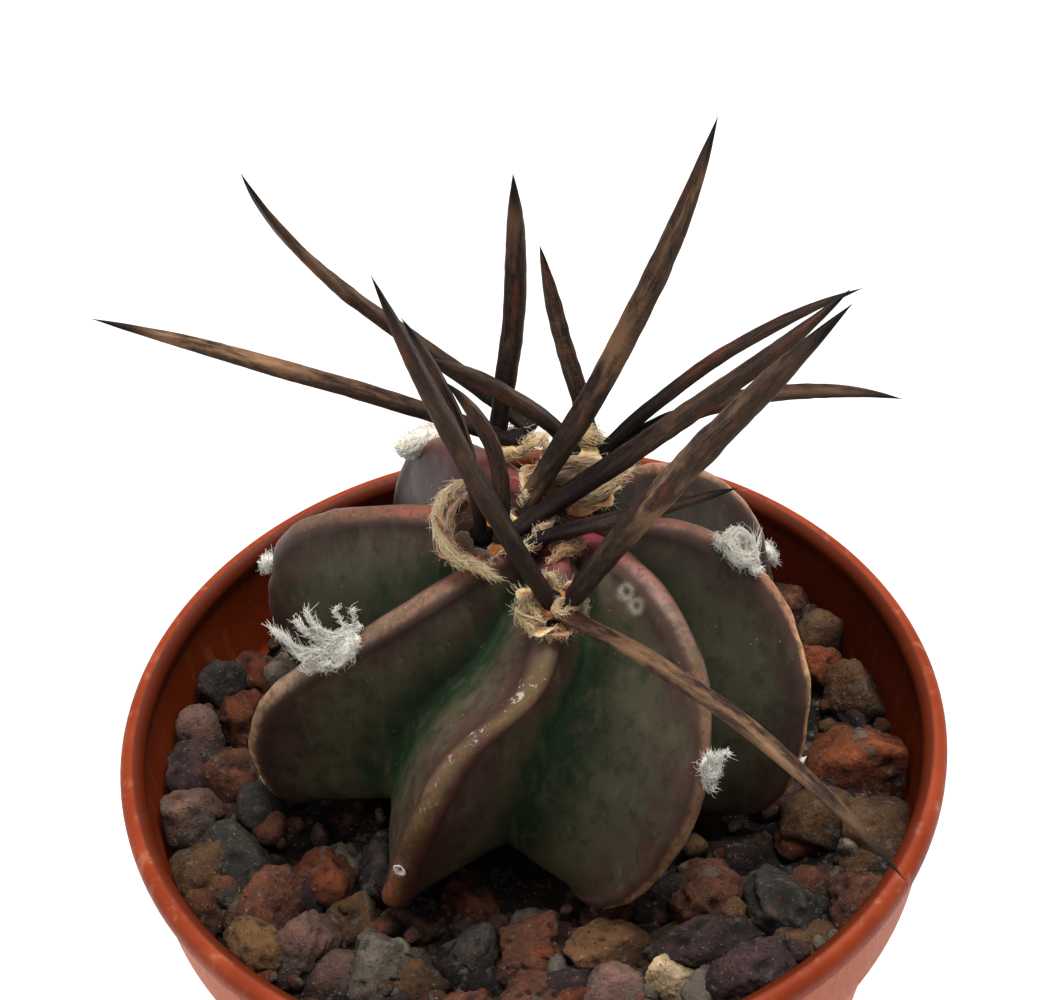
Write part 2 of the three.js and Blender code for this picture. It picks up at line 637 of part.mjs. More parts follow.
// A curling lock that narrows to its tip, and starts part of the way out in its pad.
function lockSolid(spot, turn, reach, draw) {
  const rise = LOCK_RISE + (1 - LOCK_RISE) * draw();
  const curl = around(0, LOCK_CURL, draw);
  const length = reach * around(1, LOCK_SPREAD, draw);
  const rings = [];
  for (let k = 0; k <= LOCK_STEPS; k++) {
    const s = k / LOCK_STEPS;
    const head = turn + curl * s;
    const lift = rise - LOCK_DROOP * s;
    const flat = new THREE.Vector3(Math.cos(head), Math.sin(head), 0);
    const way = flat.multiplyScalar(Math.cos(lift)).setZ(Math.sin(lift));
    if (k > 0) spot.addScaledVector(way, length / LOCK_STEPS);
    const thick = mix(LOCK_ROOT, LOCK_TIP, s);
    const sideways = new THREE.Vector3(-Math.sin(head), Math.cos(head), 0);
    const upward = way.clone().cross(sideways);
    rings.push(Array.from({ length: LOCK_SIDES }, (_, n) => {
      const round = (n * 2 * Math.PI) / LOCK_SIDES;
      const point = spot.clone().addScaledVector(sideways, thick * Math.cos(round));
      return point.addScaledVector(upward, thick * Math.sin(round));
    }));
  }
  return loft(rings);
}

// A lumpy pad with locks that stand out of it.
function woolSolid(tuft) {
  const draw = drawer(tuft.seed);
  const stand = tuftStand(tuft);
  const long = tuft.radius * (tuft.stretch ?? 1);
  const wide = tuft.radius / (tuft.stretch ?? 1);
  const pad = lump(tuft.radius > LARGE_PAD ? 1 : 0, PAD_SPREAD, draw).scale(long, wide, tuft.height);
  let wool = solid(pad.applyMatrix4(stand));
  for (let i = 0; i < tuft.locks; i++) {
    const turn = ((i + LOCK_SPREAD * draw()) * 2 * Math.PI) / tuft.locks;
    const spot = new THREE.Vector3(long * Math.cos(turn), wide * Math.sin(turn), 0);
    spot.multiplyScalar(LOCK_START).setZ(tuft.height * LOCK_START_HIGH);
    wool = wool.add(solid(lockSolid(spot, turn, tuft.lock, draw).applyMatrix4(stand)));
  }
  return wool;
}

// The assembly
const materials = {
  pot: { color: 0xb8643c, roughness: 0.42, metalness: 0 },
  mix: { color: 0x5b4842, roughness: 0.92, metalness: 0 },
  skin: { color: 0x54523c, roughness: 0.55, metalness: 0 },
  spine: { color: 0x4a3830, roughness: 0.5, metalness: 0 },
  young: { color: 0xcdb48c, roughness: 0.95, metalness: 0 },
  old: { color: 0xece8de, roughness: 0.95, metalness: 0 },
};

const cactus = new THREE.Group();

function show(name, body, look) {
  const mesh = new THREE.Mesh(geometryOf(body), new THREE.MeshStandardMaterial(materials[look]));
  mesh.name = name;
  cactus.add(mesh);
}

const body = bodySolid(0);
const bodyRoom = bodySolid(ROOM);
const clusterRooms = Object.values(AREOLES).map((areole) => clusterSolid(areole, CLUSTER_ROOM));

show('pot', potSolid(), 'pot');
show('gritty_mix', mixSolid(bodyRoom), 'mix');
show('cactus_body', body, 'skin');
for (const [name, areole] of Object.entries(AREOLES)) {
  show(`spines_${name}`, clusterSolid(areole, 0).subtract(bodyRoom), 'spine');
}
for (const [name, tuft] of Object.entries(WOOL)) {
  let wool = woolSolid(tuft).subtract(bodyRoom);
  for (const room of clusterRooms) wool = wool.subtract(room);
  show(`wool_${name}`, wool, tuft.at ? 'young' : 'old');
}

export default cactus;
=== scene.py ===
"""Dresses the potted goats horn cactus: its pot, lava grit, ribbed body, horn-like spines and wool.

Sizes and places are in millimetres, in the frame of the solids, with the front towards -Y. They become metres
where a mesh is made.
"""

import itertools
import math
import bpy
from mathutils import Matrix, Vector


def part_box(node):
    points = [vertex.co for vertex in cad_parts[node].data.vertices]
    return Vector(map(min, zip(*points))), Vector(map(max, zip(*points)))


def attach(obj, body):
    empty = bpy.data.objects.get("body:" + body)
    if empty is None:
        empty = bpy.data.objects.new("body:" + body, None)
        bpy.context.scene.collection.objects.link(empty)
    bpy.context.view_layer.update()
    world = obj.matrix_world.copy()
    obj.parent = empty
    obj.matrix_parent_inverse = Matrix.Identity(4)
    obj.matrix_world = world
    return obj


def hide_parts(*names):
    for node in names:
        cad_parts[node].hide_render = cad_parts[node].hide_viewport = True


bl_info = {
    "name": "Potted goats horn cactus",
    "version": (1, 0, 0),
    "blender": (4, 5, 0),
    "location": "3D View > Sidebar > Cactus",
    "description": "Makes the pot, grit, ribbed body, spines and wool of a goats horn cactus",
    "category": "Add Mesh",
}

from collections import namedtuple

import bmesh
import bpy
import numpy as np
from bpy.props import FloatProperty, FloatVectorProperty, IntProperty, PointerProperty
from mathutils import Matrix, Vector

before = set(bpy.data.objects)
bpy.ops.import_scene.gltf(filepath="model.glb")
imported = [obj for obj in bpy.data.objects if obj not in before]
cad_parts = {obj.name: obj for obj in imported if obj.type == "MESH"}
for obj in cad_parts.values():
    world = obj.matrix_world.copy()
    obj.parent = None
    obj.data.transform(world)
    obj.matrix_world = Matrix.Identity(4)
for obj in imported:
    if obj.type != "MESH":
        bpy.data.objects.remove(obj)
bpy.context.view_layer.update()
MM = 0.001

# Sizes taken from the solids
POT_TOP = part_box("pot")[1]
POT_HEIGHT = POT_TOP[2] / MM
RIM_RADIUS = POT_TOP[0] / MM

# Sizes of the pot
RIM_BEAD = 1.9
BEAD_DEPTH = 2.4
COLLAR_DEPTH = 10
COLLAR_DRAFT = 0.9
COLLAR_STEP = 1.3
WALL = 0.9
BASE_RADIUS = 22
BASE_RECESS = 1.2
FOOT_RING = 2.2
EDGE = 0.5
DRAIN_RADIUS = 1.8
DRAIN_CIRCLE = 13
DRAIN_COUNT = 6

# Sizes of the planting
GRIT_LEVEL = 48
MIX_LEVEL = 45.5
GAP = 0.3

# Sizes of the cactus
AXIS_X = -0.9
AXIS_Y = 4.5
AXIS_LEAN = 0.16
CROWN_Z = POT_HEIGHT + 17.4
CREST_HALF = 1.15
FURROW_RADIUS = 13.6
FURROW_WIDEST = POT_HEIGHT - 3
FURROW_TOP = POT_HEIGHT + 15.4
FURROW_SQUARE = 1.7
FURROW_FOOT = 12.4
FURROW_SPAN = 45
CREST_START = 1.5
FURROW_START = 0.9
ARCH_RISE = 2.2
ROOT_RADIUS = 7
ROOT_DEPTH = 12
KINK_AT = 0.44
KINK_SPAN = 0.07

# Each rib: the heading of its edge at the crown and at the foot, any sway and kink on the way down, how far
# out it reaches and at what height, how square its outline is, how far out its foot stands, and the height
# of its edge at the crown. Then come the tones that its edge passes through on its way down, how far its
# flanks are darkened with painted shade near the crown, half way down and near the foot, how narrow the band
# along its edge is against the others, and how far it is flushed with red.
RIBS = [
    dict(
        crown=-97, foot=-118, kink=-7, reach=20.4, widest=57, square=2.3, foot_reach=19.2, top=72.6,
        tones=("dusk", "dusk", "bark", "olive", "bark", "moss", "olive", "moss", "brick"),
        dim=(0.1, 0.0, 0.0), band=0.82,
    ),
    dict(
        crown=-35, foot=-75, sway=-1, reach=21.7, widest=56.4, square=2.25, foot_reach=17.2, top=72.6,
        tones=("rose", "rose", "mauve", "umber", "umber", "tan", "straw", "straw"),
        dim=(0.25, 0.05, 0.05), band=1.3,
    ),
    dict(
        crown=4, foot=-28, sway=3, reach=22.8, widest=54, square=2.05, foot_reach=18.8, top=72.6,
        tones=("rose", "rose", "umber", "rust", "straw", "straw", "straw", "brick"),
        dim=(0.55, 0.45, 0.3), band=1.35,
    ),
    dict(
        crown=41, foot=18, sway=3, reach=21.4, widest=55.2, square=2.15, foot_reach=18.5, top=73.4,
        tones=("umber", "rust", "tan", "rust", "brick"),
        dim=(0.4, 0.4, 0.3),
    ),
    dict(
        crown=72, foot=68, sway=1, reach=21, widest=54.5, square=1.85, foot_reach=18.5, top=73.4,
        tones=("rose", "mauve", "umber", "olive", "tan"),
        dim=(0.3, 0.2, 0.1),
    ),
    dict(
        crown=123, foot=119, sway=1, reach=21.8, widest=57.8, square=2.35, foot_reach=18.5, top=73.4,
        tones=("rose", "bark", "mauve", "umber", "tan"),
        dim=(0.85, 0.6, 0.2), flush=0.2,
    ),
    dict(
        crown=168, foot=152, reach=23.5, widest=59.6, square=2.55, foot_reach=18.5, top=72.6,
        tones=("russet", "russet", "umber", "bark", "umber", "tan"),
        dim=(0.1, 0.1, 0.1),
    ),
    dict(
        crown=210, foot=193, sway=5, reach=23, widest=57.2, square=2.2, foot_reach=19.1, top=72.6,
        tones=("russet", "umber", "mauve", "mauve", "tan", "straw", "tan"),
        dim=(0.65, 0.0, 0.0),
    ),
]
# The tones are partly the edges' own colours and partly painted: dusk, where the first rib's edge faces up,
# is painted shade, and the pale straw and tan low on the edges are painted light where they turn away from
# the lamps.
TONES = {
    "rose": (150, 62, 68),
    "mauve": (138, 108, 96),
    "umber": (138, 98, 80),
    "olive": (106, 80, 50),
    "moss": (122, 94, 62),
    "straw": (226, 172, 128),
    "bark": (98, 74, 62),
    "dusk": (62, 45, 39),
    "russet": (140, 84, 68),
    "tan": (176, 138, 104),
    "rust": (184, 126, 96),
    "brick": (196, 108, 76),
}

# The spines, by the areole that they grow from. start is where a spine's root lies beside the areole. heading
# and rise give the way it sets out, and turn and lift how much they change towards its tip. pale is how much
# of it is worn to a lighter brown, bow how far its root is shifted, slim how much narrower it is, and patch
# where along it a paler patch lies.
Spine = namedtuple(
    "Spine",
    "start heading rise length turn lift width pale bow slim patch",
    defaults=((0, 0, 0), 1, None),
)
SPINE_FLATNESS = 0.68
SPINE_TAPER = 0.6
AREOLES = {
    "front": dict(
        at=(2.1, -3.9, 72.4),
        knob=(1.5, 1.6, 1.3),
        spines=[
            Spine((0, -0.3), 184, 69, 33, 2, 6, 2.2, 0.25),
            Spine((0.3, -0.2), -19, 60, 34, 26, -14, 2.7, 0.45, bow=(1.1, 0.1, 0.0), patch=0.42),
            Spine((-0.3, -0.6), -38, 3, 33, -17, -21, 1.9, 1.0, slim=0.76),
        ],
    ),
    "left": dict(
        at=(-2.7, 3, 73),
        knob=(1.5, 1.4, 1.3),
        spines=[
            Spine((0, 0.2), 173, 91, 21, -2, -26, 1.8, 0.3),
            Spine((1.2, -0.2), -179, 105, 16, 0, -51, 2.1, 0.5),
        ],
    ),
    "middle": dict(
        at=(0.9, 4.3, 73.4),
        knob=(1, 1.9, 1.2),
        spines=[
            Spine((-0.5, 0.8), 31, 46, 34, -14, 27, 2.1, 0.85),
            Spine((-0.3, -0.8), 17, 27, 32, -42, 28, 1.9, 0.35, bow=(-0.8, -0.6, -0.1)),
            Spine((0, -1.5), -7, 13, 16, 3, 4, 1.4, 0.0, bow=(-1.5, -1.2, -0.4)),
        ],
    ),
    "back_right": dict(
        at=(6.1, 10.3, 74),
        knob=(1.7, 1.6, 1.2),
        spines=[
            Spine((-0.8, -0.4), -172, 62, 17, 4, -29, 1.9, 0.4),
            Spine((0.3, 0), 112, 50, 16.5, -7, 4, 1.5, 0.5),
            Spine((0.2, -0.7), 15, 44, 24.5, -16, -24, 1.4, 0.2),
            Spine((0.6, -0.6), 7, 34, 24, -22, -42, 1.6, 0.5),
        ],
    ),
    "back_left": dict(
        at=(0.2, 12.2, 74.2),
        knob=(2, 1.5, 1.3),
        spines=[
            Spine((0, -0.1), -176, 32, 34, 0, -7, 1.8, 1.0),
            Spine((1.5, 1), 140, 23.5, 33.2, 80, 50, 1.7, 0.6),
            Spine((-1.4, 0.4), 56, 63, 22.5, 1, 29, 1.8, 0.6),
        ],
    ),
}

# The young wool. Flaps are sheets of felt that stand round the spines. Each has the heading of its middle and
# how much of the circle it takes in, how far out it stands, where its foot lies and how high it is, how it
# leans and rolls, in degrees, how brown it is and how thick. Lumps of felt lie between them, each with a
# heading, how far out and how high it lies, its size and how brown it is.
# Skeins are bands of matted wool, each with how wide it is, how many hairs coat it, how brown it is and its
# stops. A skein goes round the middle of its tuft, with a heading, a distance and a height for each stop, or
# through places in the frame, or along the edge of its rib.
Flap = namedtuple("Flap", "turn arc out base high lean roll brown thick", defaults=(0.28,))
Lump = namedtuple("Lump", "turn out high size brown")
Skein = namedtuple("Skein", "kind wide hairs brown stops shift", defaults=((0, 0),))
YOUNG_WOOL = {
    "wool_front": dict(
        at=(2.1, -4.1, 72.6),
        fuzz=700,
        seed=11,
        flaps=[
            Flap(215, 75, 1.9, -0.8, 1.5, 30, 30, -0.05),
            Flap(250, 70, 1.7, -1.2, 1.5, 45, 30, 0.15),
            Flap(290, 70, 1.8, -1.5, 1.4, 45, 20, 0.6),
            Flap(338, 50, 1.9, -0.9, 1.9, 4, -20, 0.35),
            Flap(20, 70, 1.5, -0.5, 1.2, 12, 20, 0.4),
            Flap(92, 60, 1.4, -0.3, 1.4, 5, 20, 0.2),
            Flap(165, 70, 1.6, -0.5, 1.2, 20, 40, 0.1),
        ],
        skeins=[
            Skein("round", 0.3, 110, -0.1, [
                (180, 2.0, 0.6), (205, 2.5, 0.5), (222, 2.8, 0.1), (240, 2.8, -0.4),
            ]),
            Skein("round", 0.24, 70, 0.15, [(190, 1.6, 1.0), (215, 1.9, 0.7), (245, 1.9, 0.1)]),
            Skein("round", 0.3, 90, 0.15, [
                (232, 2.4, -0.6), (255, 2.4, -0.9), (280, 2.3, -1.2), (300, 2.1, -1.4),
            ]),
            Skein("round", 0.22, 110, 0.25, [
                (0, 0.7, 0.4), (60, 0.7, 0.6), (120, 0.7, 0.6), (180, 0.7, 0.5), (240, 0.7, 0.2),
                (360, 0.7, 0.4),
            ], (0.85, -1.15)),
            Skein("round", 0.26, 80, 0.1, [
                (338, 2.2, -1.1), (340, 2.5, -0.2), (342, 2.5, 0.8), (350, 2.3, 1.5),
            ]),
            Skein("round", 0.24, 60, 0.5, [(312, 2.5, -1.3), (322, 2.9, -0.8), (330, 2.9, -0.1)]),
            Skein("round", 0.2, 50, 0.0, [(75, 1.0, 0.2), (80, 1.1, 1.0), (95, 1.2, 1.7)]),
            Skein("round", 0.18, 50, 0.1, [(130, 1.4, 0.1), (128, 1.5, 0.8), (120, 1.4, 1.4)]),
        ],
        lumps=[
            Lump(250, 0.95, -0.35, (1.3, 0.9, 0.9), 0.65),
            Lump(290, 1.9, -1.05, (1.3, 0.9, 0.8), 0.8),
            Lump(205, 0.95, -0.2, (1.2, 0.9, 0.9), 0.4),
            Lump(40, 1.0, -0.2, (1.2, 0.9, 0.8), 0.7),
        ],
    ),
    "wool_left": dict(
        at=(-2.5, 2.8, 73.4),
        fuzz=400,
        seed=12,
        flaps=[
            Flap(150, 110, 2.5, -0.6, 1.9, 25, 20, 0.6),
            Flap(225, 110, 2.5, -1.3, 1.7, 30, 20, 0.7),
            Flap(325, 80, 1.7, -1.3, 1.0, 20, 40, 0.3),
            Flap(35, 120, 1.9, -0.8, 1.3, 20, 50, 0.2),
        ],
        skeins=[
            Skein("round", 0.27, 330, -0.1, [
                (98, 3.7, 1.9), (122, 3.9, 2.0), (140, 3.8, 1.7), (157, 3.6, 1.3), (175, 3.5, 0.9),
                (190, 3.4, 0.6),
            ]),
            Skein("round", 0.29, 350, -0.05, [
                (180, 3.4, 0.8), (200, 3.4, 0.5), (228, 3.45, 0.2), (251, 3.7, 0.0), (275, 4.2, -0.3),
            ]),
            Skein("round", 0.26, 170, 0.6, [
                (112, 3.2, 1.3), (150, 3.0, 0.8), (190, 2.9, 0.1), (235, 2.9, -0.3), (268, 3.2, -0.6),
            ]),
            Skein("round", 0.4, 90, 0.15, [(90, 2.8, 0.9), (55, 2.3, 0.3), (20, 2.1, -0.3)]),
        ],
        lumps=[
            Lump(190, 1.6, -0.5, (2.2, 1.6, 0.9), 1.15),
            Lump(245, 1.7, -0.9, (2.2, 1.6, 0.8), 1.1),
            Lump(60, 1.0, -0.5, (1.6, 1.2, 0.9), 0.8),
            Lump(320, 1.2, -0.9, (1.6, 1.2, 0.8), 0.7),
        ],
    ),
    "wool_crown": dict(
        at=(4.2, 7.6, 74.2),
        fuzz=500,
        seed=13,
        flaps=[
            Flap(265, 90, 2.2, -1.0, 1.2, 35, 40, 0.75),
            Flap(330, 90, 2.9, -1.1, 1.3, 35, 40, 0.3),
            Flap(90, 100, 2.8, -0.5, 1.3, 20, 60, 0.1),
            Flap(180, 90, 2.8, -0.7, 1.3, 25, 60, 0.1),
        ],
        skeins=[
            Skein("through", 0.62, 200, 0.7, [
                (1.8, 6.3, 74.1), (2.8, 6.7, 74.3), (4.2, 6.8, 74.5), (5.6, 6.6, 74.6),
            ]),
            Skein("through", 0.4, 200, 0.1, [
                (1.2, 7.6, 74.6), (3.0, 8.2, 75.0), (5.0, 8.2, 75.1), (6.8, 7.6, 75.0), (8.4, 7.6, 74.8),
            ]),
            Skein("through", 0.42, 170, 0.0, [
                (4.2, 5.4, 74.2), (5.6, 5.1, 74.2), (6.8, 5.8, 74.4), (8.0, 6.9, 74.6), (8.8, 7.5, 74.6),
            ]),
            Skein("through", 0.85, 240, -0.1, [
                (4.6, 11.2, 74.6), (5.3, 10.6, 75.5), (6.0, 10.4, 75.8), (6.7, 10.8, 75.1),
            ]),
            Skein("through", 0.6, 110, 0.0, [(1.0, 10.8, 74.6), (1.9, 10.9, 75.2), (2.8, 10.7, 74.7)]),
            Skein("through", 0.36, 90, -0.1, [(1.2, 2.2, 73.4), (2.0, 2.8, 73.9), (2.7, 3.3, 73.7)]),
            Skein("through", 0.32, 90, -0.1, [(-0.4, 0.6, 73.0), (0.6, 1.1, 73.4), (1.6, 1.9, 73.5)]),
            Skein("through", 0.42, 110, 0.6, [
                (2.2, 0.2, 72.5), (3.0, 0.6, 72.8), (4.0, 1.2, 73.0), (5.0, 1.8, 72.8),
            ]),
            Skein("through", 0.24, 50, -0.1, [(0.6, 5.0, 73.8), (0.8, 5.3, 74.4), (0.9, 5.6, 75.0)]),
            Skein("through", 0.42, 70, 0.3, [(-1.6, 11.6, 73.8), (-0.4, 10.8, 74.0), (1.2, 10.9, 74.1)]),
            Skein("through", 0.6, 90, 0.05, [(-1.2, 12.9, 73.8), (0.4, 13.6, 73.9), (1.8, 12.8, 74.2)]),
            Skein("through", 0.5, 100, 0.05, [
                (8.2, 8.6, 74.2), (7.8, 10.4, 74.4), (6.4, 11.6, 74.2), (4.4, 11.4, 74.2),
            ]),
        ],
        lumps=[
            Lump(235, 1.6, -0.5, (2.6, 2.0, 1.2), 0.8),
            Lump(330, 1.8, -0.6, (2.4, 2.0, 1.2), 0.6),
            Lump(58, 2.3, 0.2, (3.0, 2.6, 1.6), 0.0),
            Lump(150, 1.9, -0.2, (2.2, 1.7, 1.2), 0.4),
            Lump(222, 4.0, -1.2, (1.8, 1.4, 1.0), 0.6),
            Lump(239, 6.2, -1.6, (1.9, 1.3, 0.9), 0.6),
            Lump(262, 6.2, -1.7, (2.2, 1.5, 0.9), 0.75),
            Lump(132, 6.1, -0.4, (3.6, 2.8, 1.5), 0.1),
            Lump(290, 2.6, -0.9, (2.6, 1.6, 1.0), 0.5),
        ],
    ),
}

# The old wool: at which rib and how far down its edge, half the length, width and height of its pad of felt,
# how far that lies down the edge and out from there, how far it tips across the edge, how ragged and how
# hollow it is, how brown, and how many hairs of fuzz it has. Locks of hair wrap round the pad at a size, and
# others run out of it with a heading from the way down the edge, a rise, a length and a curl. The skeins take
# the tuft's own brown, and stops along the edge are how far down it, across it and out from it they are.
Locks = namedtuple("Locks", "count turn rise length curl")
NO_LOCKS = Locks(0, (0, 0), (0, 0), (0, 0), (0, 0))
OLD_WOOL_USUAL = dict(
    shift=0, lift=0, tip=0, wrapped=4, bowl=0.0, brown=-0.4, ragged=1, locks=NO_LOCKS, skeins=[],
)
OLD_WOOL = {
    "wool_old_left": dict(
        rib=7, down=0.44, pad=(2.9, 1.3, 0.8), shift=-0.2, lift=0.15, tip=-20, seed=21, fuzz=900,
        wrapped=8, wrap=1.2,
        locks=Locks(18, (-50, 20), (10, 50), (0.8, 2.0), (90, 260)),
        skeins=[
            Skein("through", 0.5, 300, 0, [
                (-12.2, -2.3, 69.5), (-13.3, -2.6, 69.2), (-14.6, -3.0, 68.5), (-15.6, -3.3, 67.9),
            ]),
            Skein("through", 0.2, 150, 0, [
                (-14.5, -3.2, 68.2), (-16.1, -3.3, 68.4), (-17.2, -3.2, 68.9), (-17.9, -3.0, 69.9),
                (-18.5, -2.8, 70.4),
            ]),
            Skein("through", 0.24, 110, 0, [
                (-14.1, -3.4, 68.0), (-15.4, -3.6, 67.8), (-16.3, -3.6, 68.0), (-17.1, -3.4, 68.5),
            ]),
            Skein("through", 0.16, 110, 0, [
                (-14.1, -2.8, 68.9), (-15.4, -2.8, 69.3), (-16.3, -2.6, 70.0), (-16.7, -2.4, 70.8),
            ]),
            Skein("through", 0.12, 90, 0, [
                (-14.1, -2.7, 69.2), (-15.2, -2.6, 69.9), (-15.8, -2.4, 70.8), (-15.9, -2.2, 71.5),
            ]),
            Skein("through", 0.07, 36, 0, [
                (-13.2, -2.4, 69.4), (-13.5, -2.2, 70.3), (-13.9, -2.0, 71.0), (-13.6, -2.0, 71.5),
            ]),
            Skein("through", 0.06, 30, 0, [
                (-12.6, -2.3, 69.7), (-12.5, -2.1, 70.3), (-12.7, -2.0, 71.0), (-12.3, -2.0, 71.2),
            ]),
            Skein("through", 0.3, 110, 0, [(-12.9, -2.9, 68.8), (-14.2, -3.5, 67.9), (-15.4, -3.9, 67.6)]),
        ],
    ),
    "wool_old_left_back": dict(
        rib=6, down=0.63, pad=(1.1, 0.9, 0.75), seed=22, fuzz=200, wrap=0.7,
        locks=Locks(4, (-180, 180), (20, 80), (0.5, 1.0), (90, 220)),
    ),
    "wool_old_back": dict(
        rib=5, down=0.46, pad=(2.6, 2.6, 1.5), seed=23, fuzz=600, wrapped=0, wrap=1.6,
        brown=0.3, ragged=0.35,
    ),
    "wool_old_back_right": dict(
        rib=4, down=0.28, pad=(1.8, 1.7, 1.1), seed=24, fuzz=400, wrapped=0, wrap=1.1,
        brown=0.3,
    ),
    "wool_old_right_back": dict(
        rib=3, down=0.66, pad=(1.1, 0.9, 0.6), shift=0.3, seed=25, fuzz=200, wrap=0.7, bowl=0.3,
        locks=Locks(2, (-180, 180), (10, 70), (0.5, 0.8), (90, 220)),
    ),
    "wool_old_right": dict(
        rib=2, down=0.335, pad=(1.6, 1.2, 0.6), tip=38, seed=26, fuzz=300, wrapped=6, wrap=1.4, bowl=0.7,
        brown=0.12,
        locks=Locks(8, (-180, 180), (0, 40), (0.5, 1.1), (120, 300)),
        skeins=[
            Skein("along", 0.55, 420, 0, [
                (1.3, 0.0, 0.6), (0.9, 0.8, 0.7), (0.0, 1.1, 0.7), (-0.9, 0.8, 0.7), (-1.3, 0.0, 0.6),
                (-0.9, -0.8, 0.5), (0.0, -1.1, 0.5), (0.9, -0.8, 0.5), (1.3, 0.0, 0.6), (0.9, 0.8, 0.7),
            ]),
            Skein("along", 0.35, 60, 0, [(1.2, -0.6, 0.3), (1.9, -0.9, 0.4), (2.2, -0.5, 0.8)]),
            Skein("along", 0.3, 60, 0, [(-1.0, -0.8, 0.4), (-1.7, -0.9, 0.4), (-2.0, -0.4, 0.7)]),
        ],
    ),
    "wool_old_front": dict(
        rib=1, down=0.565, pad=(1.1, 0.6, 0.45), seed=27, fuzz=150, wrap=0.7, bowl=0.4,
        locks=Locks(4, (-180, 180), (0, 40), (0.4, 0.8), (20, 160)),
        skeins=[
            Skein("along", 0.26, 110, 0, [
                (1.3, -0.3, 0.4), (0.5, -0.4, 0.6), (-0.5, -0.4, 0.7), (-1.1, -0.4, 0.8),
            ]),
            Skein("along", 0.26, 110, 0, [
                (1.3, 0.3, 0.4), (0.5, 0.4, 0.6), (-0.5, 0.4, 0.7), (-1.1, 0.3, 0.8),
            ]),
            Skein("along", 0.13, 40, 0, [(-1.0, -0.4, 0.8), (-1.3, -0.8, 0.9), (-1.4, -1.1, 1.0)]),
            Skein("along", 0.15, 40, 0, [(-1.0, 0.4, 0.8), (-1.3, 0.8, 0.9), (-1.3, 1.2, 1.0)]),
            Skein("along", 0.24, 40, 0, [(1.2, 0.0, 0.4), (1.4, 0.2, 0.5), (1.6, 0.3, 0.5)]),
        ],
    ),
}

# Where small bare areoles are left on the ribs' lower edges, as the rib and how far down it, and their ring
DOTS = [(0, 0.83), (1, 0.965), (7, 0.9), (2, 0.8), (6, 0.86), (3, 0.88), (5, 0.9)]
DOT_RING = Flap(0, 360, 0.26, -0.15, 0.42, 15, 80, -0.3, 0.16)

# The colours of the lava stones, and how porous each kind is.
LAVA = {
    "ash": dict(colour=(124, 112, 98), pits=46, depth=0.16),
    "slate": dict(colour=(64, 60, 54), pits=24, depth=0.11),
    "mauve": dict(colour=(112, 84, 74), pits=18, depth=0.08),
    "plum": dict(colour=(62, 46, 47), pits=34, depth=0.12),
    "rust": dict(colour=(96, 58, 42), pits=40, depth=0.15),
    "brick": dict(colour=(120, 62, 36), pits=34, depth=0.13),
    "earth": dict(colour=(100, 72, 46), pits=14, depth=0.07),
    "cream": dict(colour=(206, 178, 136), pits=4, depth=0.04),
}
LOOSE_KINDS = ["rust", "earth", "plum", "slate", "rust", "ash", "plum", "earth", "mauve", "brick"]

# The stones that stand out on top: where, how long, wide and high, which way they lie, and their kind
STONES = [
    (-12.3, -16.5, 7.2, 6.4, 5, 20, "ash"),
    (-18.6, -15.3, 7, 4.4, 4.6, 70, "mauve"),
    (-21.4, -10.6, 7, 5.2, 5, 60, "rust"),
    (-24.2, -6, 6.4, 5, 4.8, 85, "slate"),
    (-28, -1.5, 6, 4.2, 4.8, 5, "mauve"),
    (-27.4, -7.4, 4.6, 4, 4.6, 40, "earth"),
    (-17, -7.5, 5.4, 4.4, 4.2, 0, "brick"),
    (-13, -7.2, 4.4, 4, 4.6, 80, "slate"),
    (-5.7, -15.4, 6.4, 3.2, 4.4, 82, "slate"),
    (-1.2, -15.4, 6, 5.4, 4.4, 30, "rust"),
    (-1.3, -20.6, 5, 4.4, 4, 10, "rust"),
    (4.4, -16.4, 6, 4.4, 4, 0, "earth"),
    (9.3, -20.2, 3.6, 3.6, 3.6, 60, "cream"),
    (4.6, -21.4, 5.4, 4.8, 4, 120, "mauve"),
    (15.4, -20.7, 6, 5.2, 4.6, 50, "plum"),
    (12.2, -11.6, 6, 5.2, 4.8, 20, "rust"),
    (12.2, -17, 8, 4, 4, 15, "plum"),
    (19.2, -14, 7.4, 5.6, 5, 110, "slate"),
    (23.8, -15, 5.4, 4.6, 4.4, 45, "rust"),
    (22.7, -5.9, 6.6, 5.4, 5, 140, "earth"),
    (26.4, -8.2, 6.4, 4.8, 4.8, 60, "earth"),
    (27.2, 0.2, 8.4, 6.6, 6, 160, "brick"),
    (27, 7, 5.6, 4, 4.8, 150, "earth"),
    (24.2, 10.4, 4.2, 3.6, 4.4, 90, "brick"),
    (25.2, 13.4, 4.4, 3.8, 4.6, 20, "earth"),
    (-25, 2.2, 4.6, 4.4, 4.4, 30, "rust"),
    (-24.2, 8.6, 4.2, 5.4, 4.4, 10, "brick"),
    (-20.6, 5.6, 6, 4.4, 4.6, 60, "brick"),
    (-19.6, 13.6, 5, 4.4, 4, 10, "ash"),
    (-6.4, -22.4, 5.4, 4.6, 4, 80, "rust"),
    (-22, -15.2, 4.6, 3.6, 3.8, 120, "earth"),
    (-28.4, 3.4, 4.6, 4.4, 4.8, 80, "plum"),
    (-27.8, 7, 4.6, 3.8, 4.8, 100, "mauve"),
    (-26.2, 12.2, 5, 4.6, 4.8, 70, "slate"),
    (-22.2, -1, 3.6, 4.8, 4.6, 0, "slate"),
    (23.4, 17.2, 3.6, 5, 4.8, 40, "rust"),
]
STONE_SWELL = 1.12
BANK = 2
BANK_FROM = 18
BANK_TO = 28
FILL_COUNT = 84
FILL_TURN = 137.508
FILL_FIRST = 8
FILL_CLEAR = 11.5
FILL_LAST = 28.2
FILL_SIZE = 5.7

